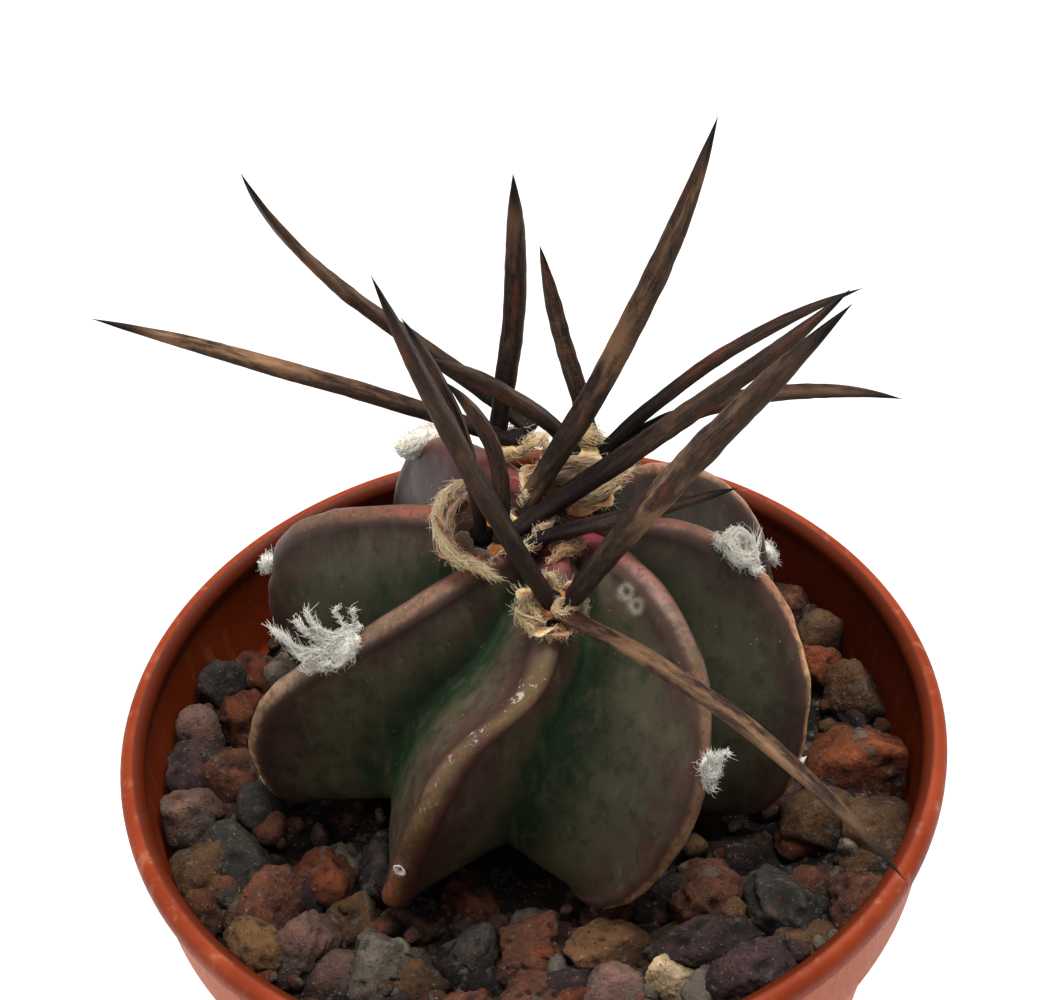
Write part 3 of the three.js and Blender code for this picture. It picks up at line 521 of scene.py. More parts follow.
# The camera, worked out from the rim's ellipse in the photograph: its elevation and roll in radians, how far
# it stands from the point that it looks at, and that point.
CAMERA_ELEVATION = 0.73845
CAMERA_ROLL = -0.06865
CAMERA_DISTANCE = 165.95
CAMERA_TARGET = Vector((0.684, 0, POT_HEIGHT + 23.009))
PHOTO_WIDTH = 1049
FOCAL_PIXELS = 2300
SENSOR_WIDTH = 36


# Arithmetic on many points at once
OFF_AXIS = np.array([0.31, 0.23, 0.92])
UPRIGHT = np.array([0.0, 0.0, 1.0])
HASHES = (374761393, 668265263, 974634777, 1274126177)


def unit(vectors):
    return vectors / np.maximum(np.linalg.norm(vectors, axis=-1, keepdims=True), 1e-9)


def circle(sides):
    """Angles all the way round."""
    return np.linspace(0, 2 * math.pi, sides, endpoint=False)


def ways(headings, tilts):
    """Unit vectors at these headings and tilts above the level, in degrees."""
    heading, tilt = np.radians(headings), np.radians(tilts)
    return np.stack([np.cos(tilt) * np.cos(heading), np.cos(tilt) * np.sin(heading), np.sin(tilt)], axis=-1)


def steps_of(low, high, value):
    """A smooth step from 0 at low to 1 at high."""
    share = np.clip((value - low) / (high - low), 0, 1)
    return share * share * (3 - 2 * share)


def hill(away, width):
    """A bell curve: 1 where away is 0, and close to 0 beyond twice the width."""
    return np.exp(-((away / width) ** 2))


def distance(points, spot):
    return np.linalg.norm(points - np.array(spot), axis=-1)


def between(share, stops, values):
    """Rows of values read off between stops, each column on its own."""
    return np.stack([np.interp(share, stops, values[:, k]) for k in range(3)], axis=-1)


def lattice(cells, seed):
    """A number from -1 to 1 for each cell of a grid."""
    key = cells[:, 0] * HASHES[0] + cells[:, 1] * HASHES[1] + cells[:, 2] * HASHES[2] + seed * HASHES[3]
    key = (key ^ (key >> 13)) * HASHES[3]
    key = key ^ (key >> 16)
    return (key & 0xFFFF) / 32768 - 1


def ripple(points, size, seed):
    """Smooth noise from -1 to 1 whose bumps are about size across."""
    grid = points.reshape(-1, 3) / size + 1000
    cells = np.floor(grid).astype(np.int64)
    share = grid - cells
    share = share * share * (3 - 2 * share)
    total = np.zeros(len(grid))
    for corner in itertools.product((0, 1), repeat=3):
        weight = np.prod(np.where(corner, share, 1 - share), axis=1)
        total += weight * lattice(cells + np.array(corner), seed)
    return total.reshape(points.shape[:-1])


def rough(points, size, seed):
    """Noise with finer and finer bumps added, each half as strong."""
    return sum(ripple(points, size / 2**k, seed + k) / 2**k for k in range(3))


def turn_about(axis, degrees):
    return np.array(Matrix.Rotation(math.radians(degrees), 3, axis))


# Meshes
def grid_faces(rows, sides):
    """Quads between rows of points that run round."""
    row, side = np.meshgrid(np.arange(rows - 1), np.arange(sides), indexing="ij")
    here = row * sides + side
    along = row * sides + (side + 1) % sides
    return np.stack([here, along, along + sides, here + sides], axis=-1).reshape(-1, 4)


def fan_faces(ring_start, sides, middle):
    """Triangles between a ring and the point in its middle."""
    side = np.arange(sides)
    return np.stack([ring_start + side, ring_start + (side + 1) % sides, np.full(sides, middle)], axis=-1)


def add_to_scene(name, data):
    made = bpy.data.objects.new(name, data)
    bpy.context.scene.collection.objects.link(made)
    return made


class Shape:
    """Points, faces and per-point values that are gathered before they become one mesh."""

    def __init__(self):
        self.points, self.faces, self.values, self.count = [], [], {}, 0

    def add(self, points, faces, **values):
        for face in faces:
            self.faces += (np.asarray(face) + self.count).tolist()
        self.points.append(points)
        for name, value in values.items():
            value = np.asarray(value, dtype=float)
            if value.ndim == 0 or value.shape[0] != len(points):
                value = np.broadcast_to(value, (len(points), *value.shape))
            self.values.setdefault(name, []).append(value)
        self.count += len(points)

    def tube(self, rings, **values):
        """A closed skin over rings of points, with a fan at each end. A value may be one a point."""
        rows, sides = rings.shape[:2]
        body = rows * sides
        points = np.concatenate([rings.reshape(-1, 3), rings[:1].mean(axis=1), rings[-1:].mean(axis=1)])
        faces = [grid_faces(rows, sides), fan_faces(0, sides, body)[:, [1, 0, 2]]]
        faces.append(fan_faces(body - sides, sides, body + 1))
        spread = {}
        for name, value in values.items():
            value = np.asarray(value, dtype=float)
            if value.ndim >= 2:
                flat = value.reshape(body, *value.shape[2:])
                value = np.concatenate([flat, flat[:1], flat[-1:]])
            spread[name] = value
        self.add(points, faces, **spread)

    def piece(self, name, material, slot, nodes):
        """The finished object, which rides on the pot's body and stands for these nodes."""
        points = np.concatenate(self.points) * MM
        mesh = bpy.data.meshes.new(name)
        mesh.from_pydata(points.tolist(), [], self.faces)
        mesh.polygons.foreach_set("use_smooth", np.ones(len(mesh.polygons), dtype=bool))
        for key, parts in self.values.items():
            data = np.concatenate(parts)
            kind, field = ("FLOAT", "value") if data.ndim == 1 else ("FLOAT_VECTOR", "vector")
            mesh.attributes.new(key, kind, "POINT").data.foreach_set(field, data.ravel())
        mesh.materials.append(material)
        mesh.update()
        made = add_to_scene(name, mesh)
        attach(made, "root")
        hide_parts(*nodes)
        return made


# The body's outline, as in the solids
def outline(start, top, reach, widest, square, foot_reach, foot):
    """How far out and how high an outline lies, by the share of its length from the crown."""
    turn = np.linspace(0, math.pi, 401)
    upper = np.minimum(turn, math.pi / 2)
    lower = np.maximum(turn - math.pi / 2, 0)
    up = turn <= math.pi / 2
    power = 2 / square
    out_up = start + (reach - start) * np.sin(upper) ** power
    z_up = widest + (top - widest) * np.maximum(np.cos(upper), 0) ** power
    out = np.where(up, out_up, foot_reach + (reach - foot_reach) * np.cos(lower))
    z = np.where(up, z_up, widest - (widest - foot) * np.sin(lower))
    along = np.concatenate([[0], np.cumsum(np.hypot(np.diff(out), np.diff(z)))])
    along /= along[-1]
    return lambda share: (np.interp(share, along, out), np.interp(share, along, z))


def place(out, heading, z):
    """The place at this distance and heading from the body's leaning axis, at this height."""
    turn = np.radians(heading)
    x = AXIS_X + AXIS_LEAN * (z - GRIT_LEVEL) + out * np.cos(turn)
    return np.stack([x, AXIS_Y + out * np.sin(turn), z + 0 * x], axis=-1)


def heading_of(rib, down):
    swing = rib.get("sway", 0) * np.sin(2 * np.pi * down)
    swing = swing + rib.get("kink", 0) * np.tanh((down - KINK_AT) / KINK_SPAN)
    return rib["crown"] + (rib["foot"] - rib["crown"]) * down + swing


CRESTS = [
    outline(CREST_START, r["top"], r["reach"], r["widest"], r["square"], r["foot_reach"], GRIT_LEVEL)
    for r in RIBS
]
FURROW = outline(
    FURROW_START, FURROW_TOP, FURROW_RADIUS, FURROW_WIDEST, FURROW_SQUARE, FURROW_FOOT, GRIT_LEVEL + ARCH_RISE
)


def crest_point(rib, down):
    out, z = CRESTS[rib](down)
    return place(out, heading_of(RIBS[rib], down), z)


def furrow_point(rib, down):
    """The bottom of the furrow between a rib and the next, a little further out where they stand close."""
    here = heading_of(RIBS[rib], down)
    there = heading_of(RIBS[(rib + 1) % len(RIBS)], down)
    there = here + (there - here) % 360
    out, z = FURROW(down)
    narrow = np.minimum(1, (there - here) / FURROW_SPAN)
    return place(out * (1.08 - 0.08 * narrow), (here + there) / 2, z)


# Materials
def srgb(red, green, blue):
    """A linear colour from the usual 0 to 255 values."""
    parts = [c / 255 for c in (red, green, blue)]
    return (*[c / 12.92 if c <= 0.04045 else ((c + 0.055) / 1.055) ** 2.4 for c in parts], 1.0)


class Nodes:
    """A shader node tree, with short names for the nodes that the materials use."""

    def __init__(self, tree):
        self.tree = tree

    def node(self, kind, settings=None, inputs=None):
        """A node with its settings. An input is a plain value or another node's output."""
        made = self.tree.nodes.new(kind)
        for name, value in (settings or {}).items():
            setattr(made, name, value)
        for name, value in (inputs or {}).items():
            if isinstance(value, bpy.types.NodeSocket):
                self.tree.links.new(value, made.inputs[name])
            else:
                made.inputs[name].default_value = value
        return made

    def maths(self, operation, *values):
        return self.node("ShaderNodeMath", {"operation": operation}, dict(enumerate(values))).outputs[0]

    def times(self, *values):
        return self.maths("MULTIPLY", *values)

    def plus(self, *values):
        return self.maths("ADD", *values)

    def minus(self, *values):
        return self.maths("SUBTRACT", *values)

    def most(self, *values):
        return self.maths("MAXIMUM", *values)

    def blend(self, amount, first, second, kind="MIX"):
        """Two colours mixed."""
        settings = {"data_type": "RGBA", "blend_type": kind}
        return self.node("ShaderNodeMix", settings, {0: amount, 6: first, 7: second}).outputs[2]

    def span(self, value, low, high, to_low=0.0, to_high=1.0):
        """A value moved smoothly from one range to another."""
        inputs = {"Value": value, "From Min": low, "From Max": high, "To Min": to_low, "To Max": to_high}
        return self.node("ShaderNodeMapRange", {"interpolation_type": "SMOOTHSTEP"}, inputs).outputs["Result"]

    def attribute(self, name, output="Fac"):
        return self.node("ShaderNodeAttribute", {"attribute_name": name}).outputs[output]

    def grey(self, value):
        return self.node("ShaderNodeCombineXYZ", {}, {0: value, 1: value, 2: value}).outputs[0]

    def stretched(self, vector, scale):
        return self.node("ShaderNodeVectorMath", {"operation": "MULTIPLY"}, {0: vector, 1: scale}).outputs[0]

    def noise(self, vector, scale, detail=3.0, roughness=0.55):
        inputs = {"Vector": vector, "Scale": scale, "Detail": detail, "Roughness": roughness}
        return self.node("ShaderNodeTexNoise", {}, inputs).outputs["Fac"]

    def bump(self, height, strength, depth):
        """A bump whose full depth is given in millimetres."""
        inputs = {"Height": height, "Strength": strength, "Distance": depth * MM}
        return self.node("ShaderNodeBump", {}, inputs).outputs["Normal"]


def fleck_group():
    """Small specks that gather in patches, as a node group that the materials share."""
    name = "Flecks"
    if name in bpy.data.node_groups:
        return bpy.data.node_groups[name]
    tree = bpy.data.node_groups.new(name, "ShaderNodeTree")
    tree.interface.new_socket("Vector", in_out="INPUT", socket_type="NodeSocketVector")
    for socket, value in (("Scale", 1.0), ("Size", 0.2), ("Amount", 0.5)):
        tree.interface.new_socket(socket, in_out="INPUT", socket_type="NodeSocketFloat").default_value = value
    tree.interface.new_socket("Mask", in_out="OUTPUT", socket_type="NodeSocketFloat")
    group = Nodes(tree)
    given = group.node("NodeGroupInput").outputs
    bent = group.noise(given["Vector"], group.times(given["Scale"], 1.7), 2.0)
    cells = group.node("ShaderNodeTexVoronoi", {}, {"Vector": given["Vector"], "Scale": given["Scale"]})
    ragged = group.plus(cells.outputs["Distance"], group.times(bent, 0.3))
    edge = group.plus(given["Size"], 0.1)
    speck = group.minus(1.0, group.span(ragged, edge, group.plus(edge, 0.08)))
    patch = group.noise(given["Vector"], group.times(given["Scale"], 0.21), 2.0)
    bare = group.minus(1.0, given["Amount"])
    there = group.span(patch, group.minus(bare, 0.05), group.plus(bare, 0.1))
    tree.links.new(group.times(speck, there), group.node("NodeGroupOutput").inputs["Mask"])
    return tree


SOCKETS = dict(
    colour="Base Color",
    roughness="Roughness",
    normal="Normal",
    specular="Specular IOR Level",
    sheen="Sheen Weight",
    glow="Subsurface Weight",
    glow_colour="Subsurface Radius",
    glow_depth="Subsurface Scale",
)


class Finish(Nodes):
    """A material whose colour is laid on in coats. Its shader's plain values are given by name."""

    def __init__(self, name, **plain):
        self.material = bpy.data.materials.new(name)
        self.material.use_nodes = True
        super().__init__(self.material.node_tree)
        self.shader = self.tree.nodes["Principled BSDF"]
        for socket, value in plain.items():
            self.shader.inputs[SOCKETS[socket]].default_value = value
        where = self.node("ShaderNodeTexCoord").outputs["Object"]
        inputs = {"Vector": where, "Scale": 1 / MM}
        self.spot = self.node("ShaderNodeVectorMath", {"operation": "SCALE"}, inputs).outputs[0]

    def coat(self, amount, colour):
        self.colour = self.blend(amount, self.colour, colour)

    def flecks(self, scale, size, amount):
        inputs = {"Vector": self.spot, "Scale": scale, "Size": size, "Amount": amount}
        return self.node("ShaderNodeGroup", {"node_tree": fleck_group()}, inputs).outputs["Mask"]

    def done(self, **fed):
        """The material, with its colour and these values fed to the shader."""
        for socket, value in dict(colour=self.colour, **fed).items():
            self.tree.links.new(value, self.shader.inputs[SOCKETS[socket]])
        return self.material


def plastic_material(settings):
    """Thin moulded plastic, satin, with dust and dried water on it. Its inner wall takes soil and painted
    shade, and its outer wall painted light.
    """
    pot = Finish("pot_plastic", specular=0.15)
    cloud = pot.noise(pot.spot, 0.16, 4.0, 0.6)
    pot.colour = pot.blend(pot.span(cloud, 0.35, 0.7), (*settings.colour, 1.0), (*settings.faded, 1.0))
    streaks = pot.noise(pot.stretched(pot.spot, (0.9, 0.9, 0.12)), 0.8, 3.0)
    pot.coat(pot.span(streaks, 0.55, 0.8, 0.0, 0.25), srgb(226, 164, 132))
    pot.coat(pot.times(pot.flecks(1.1, 0.06, 0.42), 0.6), srgb(232, 190, 164))
    # Soil and painted shade: the inner wall is coated dark red-brown, fully near the rim and a quarter as
    # much lower down.
    soil_and_shade = pot.span(cloud, 0.25, 0.7, 0.85, 1.0)
    pot.coat(pot.times(pot.attribute("inside"), soil_and_shade), srgb(84, 28, 6))
    # Painted light: the outer wall below the bead is lightened to pale orange.
    pot.coat(pot.times(pot.attribute("outside"), 0.5), srgb(206, 108, 62))
    rub = pot.noise(pot.stretched(pot.spot, (1.0, 1.0, 0.5)), 2.4, 4.0, 0.65)
    return pot.done(roughness=pot.span(rub, 0.3, 0.75, 0.46, 0.62), normal=pot.bump(rub, 0.1, 0.06))


def lava_material():
    """Porous lava in each stone's own colour, with pale grains, and painted shade that darkens its pits,
    holes and pores.
    """
    lava = Finish("lava_grit", roughness=0.88, specular=0.28)
    cloud = lava.noise(lava.spot, 0.6, 4.0, 0.62)
    grain = lava.noise(lava.spot, 2.6, 5.0, 0.7)
    shade = lava.grey(lava.span(cloud, 0.25, 0.75, 0.55, 1.35))
    lava.colour = lava.blend(1.0, lava.attribute("tone", "Vector"), shade, "MULTIPLY")
    lava.coat(lava.span(cloud, 0.56, 0.66, 0.0, 0.3), srgb(128, 76, 54))
    lava.coat(lava.minus(1.0, lava.span(cloud, 0.34, 0.44, 0.6, 1.0)), srgb(122, 112, 100))
    lava.coat(lava.span(grain, 0.6, 0.7, 0.0, 0.55), srgb(176, 158, 140))
    # Painted shade: the pits, holes and pores are coated near black.
    holes = lava.minus(1.0, lava.span(grain, 0.34, 0.44))
    pores = lava.flecks(1.3, 0.1, 0.56)
    dark = lava.most(lava.times(holes, 0.7), lava.times(lava.attribute("pit"), 0.8))
    lava.coat(lava.most(dark, lava.times(pores, 0.7)), srgb(20, 14, 13))
    relief = lava.minus(lava.plus(grain, lava.times(cloud, 0.8)), pores)
    return lava.done(normal=lava.bump(relief, 0.95, 0.42))


def skin_material(settings):
    """Waxy skin: green in the furrows, olive and purple-brown on the flanks, with painted shade on some ribs'
    flanks, and a worn edge to each rib whose tones are partly painted light and shade.
    """
    skin = Finish("skin", specular=0.22)
    spot = skin.spot
    from_edge = skin.attribute("from_edge")
    clouds = skin.noise(spot, 0.4, 5.0, 0.62)
    drift = skin.minus(clouds, 0.5)
    zone = skin.plus(skin.maths("DIVIDE", from_edge, 10.0), skin.times(drift, 1.1))
    skin.colour = skin.blend(skin.span(zone, 0.2, 0.6), (*settings.purple, 1.0), (*settings.olive, 1.0))
    depth = skin.plus(skin.attribute("groove"), skin.times(drift, 0.6))
    skin.coat(skin.span(depth, 0.5, 1.0), (*settings.green, 1.0))
    blotches = skin.noise(skin.stretched(spot, (1.0, 1.0, 0.6)), 0.75, 5.0, 0.66)
    skin.coat(skin.span(blotches, 0.5, 0.62, 0.0, 0.5), srgb(42, 50, 32))
    skin.coat(skin.span(blotches, 0.34, 0.44, 0.4, 0.0), srgb(96, 74, 62))
    streaks = skin.noise(skin.stretched(spot, (0.8, 0.8, 0.16)), 1.1, 4.0, 0.6)
    skin.coat(skin.span(streaks, 0.48, 0.75, 0.0, 0.4), srgb(112, 106, 88))
    shadow = skin.minus(1.0, skin.span(from_edge, 1.1, 2.6))
    skin.coat(skin.times(shadow, 0.6), srgb(70, 46, 42))
    # Painted shade: a rib's flanks are darkened towards near black by the rib's own amounts.
    skin.coat(skin.attribute("dim"), srgb(22, 16, 12))
    flank = skin.colour

    skin.colour = skin.attribute("edge_tone", "Vector")
    patchy = skin.noise(skin.stretched(spot, (1.0, 1.0, 0.7)), 0.9, 5.0, 0.68)
    skin.coat(skin.span(patchy, 0.48, 0.56, 0.0, 0.6), srgb(86, 80, 48))
    skin.coat(skin.span(patchy, 0.32, 0.46, 0.6, 0.0), srgb(84, 46, 40))
    speckled = skin.noise(spot, 2.2, 4.0, 0.7)
    skin.coat(skin.span(speckled, 0.56, 0.72, 0.0, 0.22), srgb(190, 156, 128))
    band = skin.plus(from_edge, skin.times(skin.minus(patchy, 0.5), 0.9))
    on_edge = skin.minus(1.0, skin.span(band, 0.3, 1.15))
    on_edge = skin.times(on_edge, skin.span(patchy, 0.3, 0.5, 0.62, 0.92))
    skin.colour = skin.blend(on_edge, flank, skin.colour)

    fresh = skin.plus(skin.attribute("fresh"), skin.times(drift, 0.6))
    skin.coat(skin.span(fresh, 0.3, 0.8), srgb(70, 118, 88))
    skin.coat(skin.times(skin.attribute("flush"), 0.85), srgb(160, 56, 74))
    scales = skin.minus(skin.noise(spot, 2.4, 4.0, 0.7), 0.55)
    crust = skin.span(skin.plus(skin.attribute("crust"), skin.times(scales, 4.0)), 0.6, 0.9)
    pale = skin.most(skin.times(skin.flecks(1.4, 0.08, 0.5), 0.4), skin.times(crust, 0.75))
    pale = skin.most(pale, skin.times(skin.attribute("scar"), 0.5))
    skin.coat(pale, srgb(196, 186, 166))
    relief = skin.plus(skin.times(patchy, 0.6), pale)
    return skin.done(roughness=skin.span(clouds, 0.3, 0.75, 0.42, 0.58), normal=skin.bump(relief, 0.35, 0.14))


def horn_material(settings):
    """Dry horn: black at the root and tip, dark brown between, with worn tan patches, cross wrinkles and a
    painted highlight along its two edges.
    """
    horn = Finish("spine", specular=0.11)
    grain = horn.attribute("grain", "Vector")
    worn = horn.attribute("worn")
    fibre = horn.noise(horn.stretched(grain, (3.0, 3.0, 0.35)), 1.6, 4.0, 0.65)
    cross = horn.noise(horn.stretched(grain, (0.5, 0.5, 3.0)), 1.3, 3.0, 0.6)
    patch = horn.noise(horn.stretched(grain, (0.6, 0.6, 0.22)), 0.9, 4.0, 0.65)
    horn.colour = horn.blend(horn.span(fibre, 0.35, 0.7), (*settings.dark, 1.0), (*settings.brown, 1.0))
    horn.coat(horn.span(cross, 0.5, 0.68, 0.0, 0.5), srgb(24, 18, 18))
    even = horn.plus(patch, horn.times(worn, 0.1))
    lighter = horn.times(horn.span(even, 0.46, 0.7), worn)
    horn.coat(horn.times(lighter, 0.8), (*settings.tan, 1.0))
    horn.coat(horn.times(horn.span(patch, 0.3, 0.44, 1.0, 0.0), 0.45), srgb(118, 60, 36))
    # Painted highlight: both edges of each spine are lightened.
    horn.coat(horn.times(horn.attribute("rim"), 0.14), srgb(128, 104, 86))
    reach = horn.plus(horn.attribute("along"), horn.times(horn.minus(patch, 0.5), 0.25))
    charred = horn.minus(1.0, horn.span(reach, 0.16, 0.46))
    charred = horn.times(charred, horn.minus(1.0, horn.times(worn, 0.6)))
    black = horn.most(charred, horn.span(reach, 0.84, 0.96))
    horn.coat(horn.times(black, 0.93), srgb(15, 12, 13))
    relief = horn.plus(fibre, horn.times(cross, 1.5))
    return horn.done(roughness=horn.span(fibre, 0.3, 0.7, 0.42, 0.62), normal=horn.bump(relief, 0.5, 0.12))


def wool_material(name, settings, light, darker_strands_and_shade, browned):
    """Wool that goes from a light tone to a darker one, partly darker strands and partly painted shade, and
    brown where it is marked so.
    """
    wool = Finish(
        name,
        roughness=0.85,
        specular=0.15,
        sheen=settings.sheen,
        glow=settings.glow,
        glow_colour=(1.0, 0.9, 0.7),
        glow_depth=0.6 * MM,
    )
    patchy = wool.noise(wool.spot, 1.4, 3.0)
    brown = wool.plus(wool.attribute("brown"), wool.minus(patchy, 0.5))
    # Painted shade, with some real difference between strands: each hair, sheet and lump is mixed by its tint
    # towards the darker tone.
    wool.colour = wool.blend(wool.span(wool.attribute("tint"), 0.0, 1.0), light, darker_strands_and_shade)
    wool.coat(wool.span(brown, 0.2, 0.7), browned)
    wool.coat(wool.span(brown, 0.7, 1.1, 0.0, 0.92), srgb(48, 20, 10))
    fibres = wool.noise(wool.stretched(wool.spot, (3.0, 3.0, 0.8)), 2.6, 3.0, 0.7)
    return wool.done(normal=wool.bump(fibres, 0.35, 0.1))


# The pot
COLLAR_TOP = POT_HEIGHT - BEAD_DEPTH
COLLAR_FOOT = POT_HEIGHT - COLLAR_DEPTH
COLLAR_OUTER = RIM_RADIUS - 0.6
COLLAR_NARROW = COLLAR_OUTER - COLLAR_DRAFT
SHOULDER_OUTER = COLLAR_NARROW - COLLAR_STEP
SHOULDER = COLLAR_FOOT - 1
FLOOR = BASE_RECESS + WALL


def rim_arc():
    """Half a circle over the rim, from its outer to its inner side."""
    radius = RIM_BEAD / 2
    turn = np.linspace(0, math.pi, 13)
    out = RIM_RADIUS - radius + radius * np.cos(turn)
    return [(*spot, 0) for spot in zip(out, POT_HEIGHT - radius + radius * np.sin(turn))]


def rounded(corners, arc_steps=4):
    """A line through corners (out, z, rounding), most of them replaced by a small curve."""
    line = []
    for i, (out, z, rounding) in enumerate(corners):
        here = np.array([out, z])
        if rounding == 0:
            line.append(here)
            continue
        before = np.array(corners[i - 1][:2]) - here
        after = np.array(corners[(i + 1) % len(corners)][:2]) - here
        first = here + before * min(0.5, rounding / np.linalg.norm(before))
        last = here + after * min(0.5, rounding / np.linalg.norm(after))
        for share in np.linspace(0, 1, arc_steps):
            line.append((1 - share) ** 2 * first + 2 * share * (1 - share) * here + share**2 * last)
    return np.array(line)


def pot_profile():
    """The pot's section, from the middle of its underside round the rim to the middle of its floor."""
    return rounded(
        [
            (0, BASE_RECESS, 0),
            (BASE_RADIUS - FOOT_RING, BASE_RECESS, 0.3),
            (BASE_RADIUS - FOOT_RING + EDGE, 0, 0.2),
            (BASE_RADIUS - 0.2, 0, 0.4),
            (SHOULDER_OUTER, SHOULDER, 0.4),
            (COLLAR_NARROW, COLLAR_FOOT, 0.4),
            (COLLAR_OUTER, COLLAR_TOP, 0.3),
            (RIM_RADIUS, COLLAR_TOP + EDGE, 0.3),
            *rim_arc(),
            (COLLAR_OUTER - WALL, COLLAR_TOP, 0.3),
            (COLLAR_NARROW - WALL, COLLAR_FOOT, 0.4),
            (SHOULDER_OUTER - WALL, SHOULDER, 0.4),
            (BASE_RADIUS - WALL, FLOOR, 0.6),
            (0, FLOOR, 0),
        ]
    )


def turned(line, sides, **values):
    """A closed shape turned about the Z axis, from a line that starts and ends on it."""
    turn = circle(sides)
    out, high = line[1:-1, :1], line[1:-1, 1:]
    shape = Shape()
    rings = np.stack([out * np.cos(turn), out * np.sin(turn), high + 0 * turn], axis=-1)
    shape.tube(rings, **{name: value[1:-1, None] + 0 * turn for name, value in values.items()})
    return shape


def add_pot(settings):
    line = pot_profile()
    rim = int(np.argmax(line[:, 1] + 0.001 * line[:, 0]))
    past_rim = np.arange(len(line)) > rim
    below = POT_HEIGHT - line[:, 1]
    # The inner wall takes soil and painted shade, and the outer wall below the bead painted light.
    inside = past_rim * (1 - 0.75 * steps_of(1.2, 4.5, below))
    outside = ~past_rim * steps_of(0.8, 3.2, below)
    shape = turned(line, settings.sides, inside=inside, outside=outside)
    pot = shape.piece("nursery_pot", plastic_material(settings), "pot_plastic", ["pot"])
    for turn in circle(DRAIN_COUNT):
        spot = Vector((DRAIN_CIRCLE * math.cos(turn), DRAIN_CIRCLE * math.sin(turn), BASE_RECESS)) * MM
        cut_hole(pot, spot, DRAIN_RADIUS * MM)


def cut_hole(piece, spot, radius):
    """A round hole down through the piece."""
    drill = bmesh.new()
    bmesh.ops.create_cone(
        drill,
        cap_ends=True,
        segments=24,
        radius1=radius,
        radius2=radius,
        depth=6 * MM,
        matrix=Matrix.Translation(spot),
    )
    mesh = bpy.data.meshes.new("drain")
    drill.to_mesh(mesh)
    drill.free()
    cutter = add_to_scene("drain", mesh)
    cut = piece.modifiers.new("drain", "BOOLEAN")
    cut.operation, cut.solver, cut.object = "DIFFERENCE", "EXACT", cutter
    seen = piece.evaluated_get(bpy.context.evaluated_depsgraph_get())
    holed = bpy.data.meshes.new_from_object(seen)
    piece.modifiers.clear()
    piece.data = holed
    bpy.data.objects.remove(cutter)


# The grit
FACETS = 10
FACET_EDGE = 34
FACET_CORNER = 1.16
PITTED_FROM = 200
FILL_SEED = 5
DRAWS_OF_A_STONE = 15
CRUMBS_FROM = 10
CRUMBS_TO = 29
CRUMB_SIZES = (0.7, 2.7)
CRUMB_DEPTHS = (0.6, 2.2)
BED_RINGS = 40
BED_SIDES = 140


def ball(detail):
    """Points and triangles of a round ball, at one of bmesh's subdivisions."""
    made = bmesh.new()
    bmesh.ops.create_icosphere(made, subdivisions=detail, radius=1)
    points = np.array([v.co[:] for v in made.verts])
    faces = np.array([[v.index for v in f.verts] for f in made.faces])
    made.free()
    return points, faces


def wall_radius(z):
    """How far out the inside of the pot reaches at a height."""
    outer = [BASE_RADIUS, SHOULDER_OUTER, COLLAR_NARROW, COLLAR_OUTER]
    return np.interp(z, [FLOOR, SHOULDER, COLLAR_FOOT, COLLAR_TOP], outer) - WALL


def grit_level(x, y):
    """How high the loose stones reach, which bank up against the pot's wall."""
    return GRIT_LEVEL + BANK * steps_of(BANK_FROM, BANK_TO, np.hypot(x, y))


def stone(shape, ball_of, spot, size, heading, kind, seed):
    """One lump of lava: rounded facets, a rough surface and pits, in its kind's colour, with painted light on
    its top and painted shade where it lies deep in the grit.
    """
    rng = np.random.default_rng(seed)
    way, faces = ball_of
    look = LAVA[kind]
    facets = unit(rng.normal(size=(FACETS, 3)))
    reach = rng.uniform(0.64, 1.0, size=FACETS)
    pull = np.maximum(way @ facets.T / reach, 0) ** FACET_EDGE
    out = (pull.sum(axis=1) + FACET_CORNER**-FACET_EDGE) ** (-1 / FACET_EDGE)
    shift = rng.uniform(-50, 50, size=3)
    coarse = 0.5 + 0.5 * (look["depth"] / 0.16)
    lumps = 0.08 * rough(way + shift, 0.6, seed) + 0.085 * rough(way + shift, 0.2, seed + 9)
    out = out * (1 + coarse * lumps)
    pit = np.zeros(len(way))
    if len(way) > PITTED_FROM:
        spots = unit(rng.normal(size=(look["pits"], 3)))
        wide = rng.uniform(0.07, 0.2, size=look["pits"]) * (1 + (rng.random(look["pits"]) > 0.85))
        gap = np.arccos(np.clip(way @ spots.T, -1, 1)) / wide
        pit = (np.maximum(0, 1 - gap**2) * np.minimum(1, wide / 0.16)).max(axis=1)
        out = out - look["depth"] * pit
    points = way * out[:, None] * np.array(size) / 2
    tilt = turn_about("Y", rng.uniform(-14, 14))
    points = points @ (turn_about("Z", heading) @ tilt).T + spot
    limit = wall_radius(points[:, 2]) - GAP - 0.2
    reached = np.hypot(points[:, 0], points[:, 1])
    points[:, :2] *= np.minimum(1, limit / np.maximum(reached, 1e-6))[:, None]
    tone = np.array(srgb(*look["colour"])[:3]) * rng.uniform(0.6, 1.2) * rng.uniform(0.94, 1.06, size=3)
    # Painted light and shade: the colour is lightened where the stone stands above the grit's level and
    # darkened the deeper it lies below it.
    sunk = grit_level(points[:, 0], points[:, 1]) + 0.2 - points[:, 2]
    tone = tone * np.interp(sunk, (-0.8, 0.4, 2.2), (1.35, 0.82, 0.2))[:, None]
    shape.add(points, [faces], tone=tone, pit=pit)


def drawer(seed):
    """The same seeded draw that places the loose stones of the solids."""
    factor, step, limit = 1103515245.0, 12345.0, 2147483648.0
    state = float(seed * 7919 + 17)

    def draw():
        nonlocal state
        state = math.fmod(state * factor + step, limit)
        return state / limit

    return draw


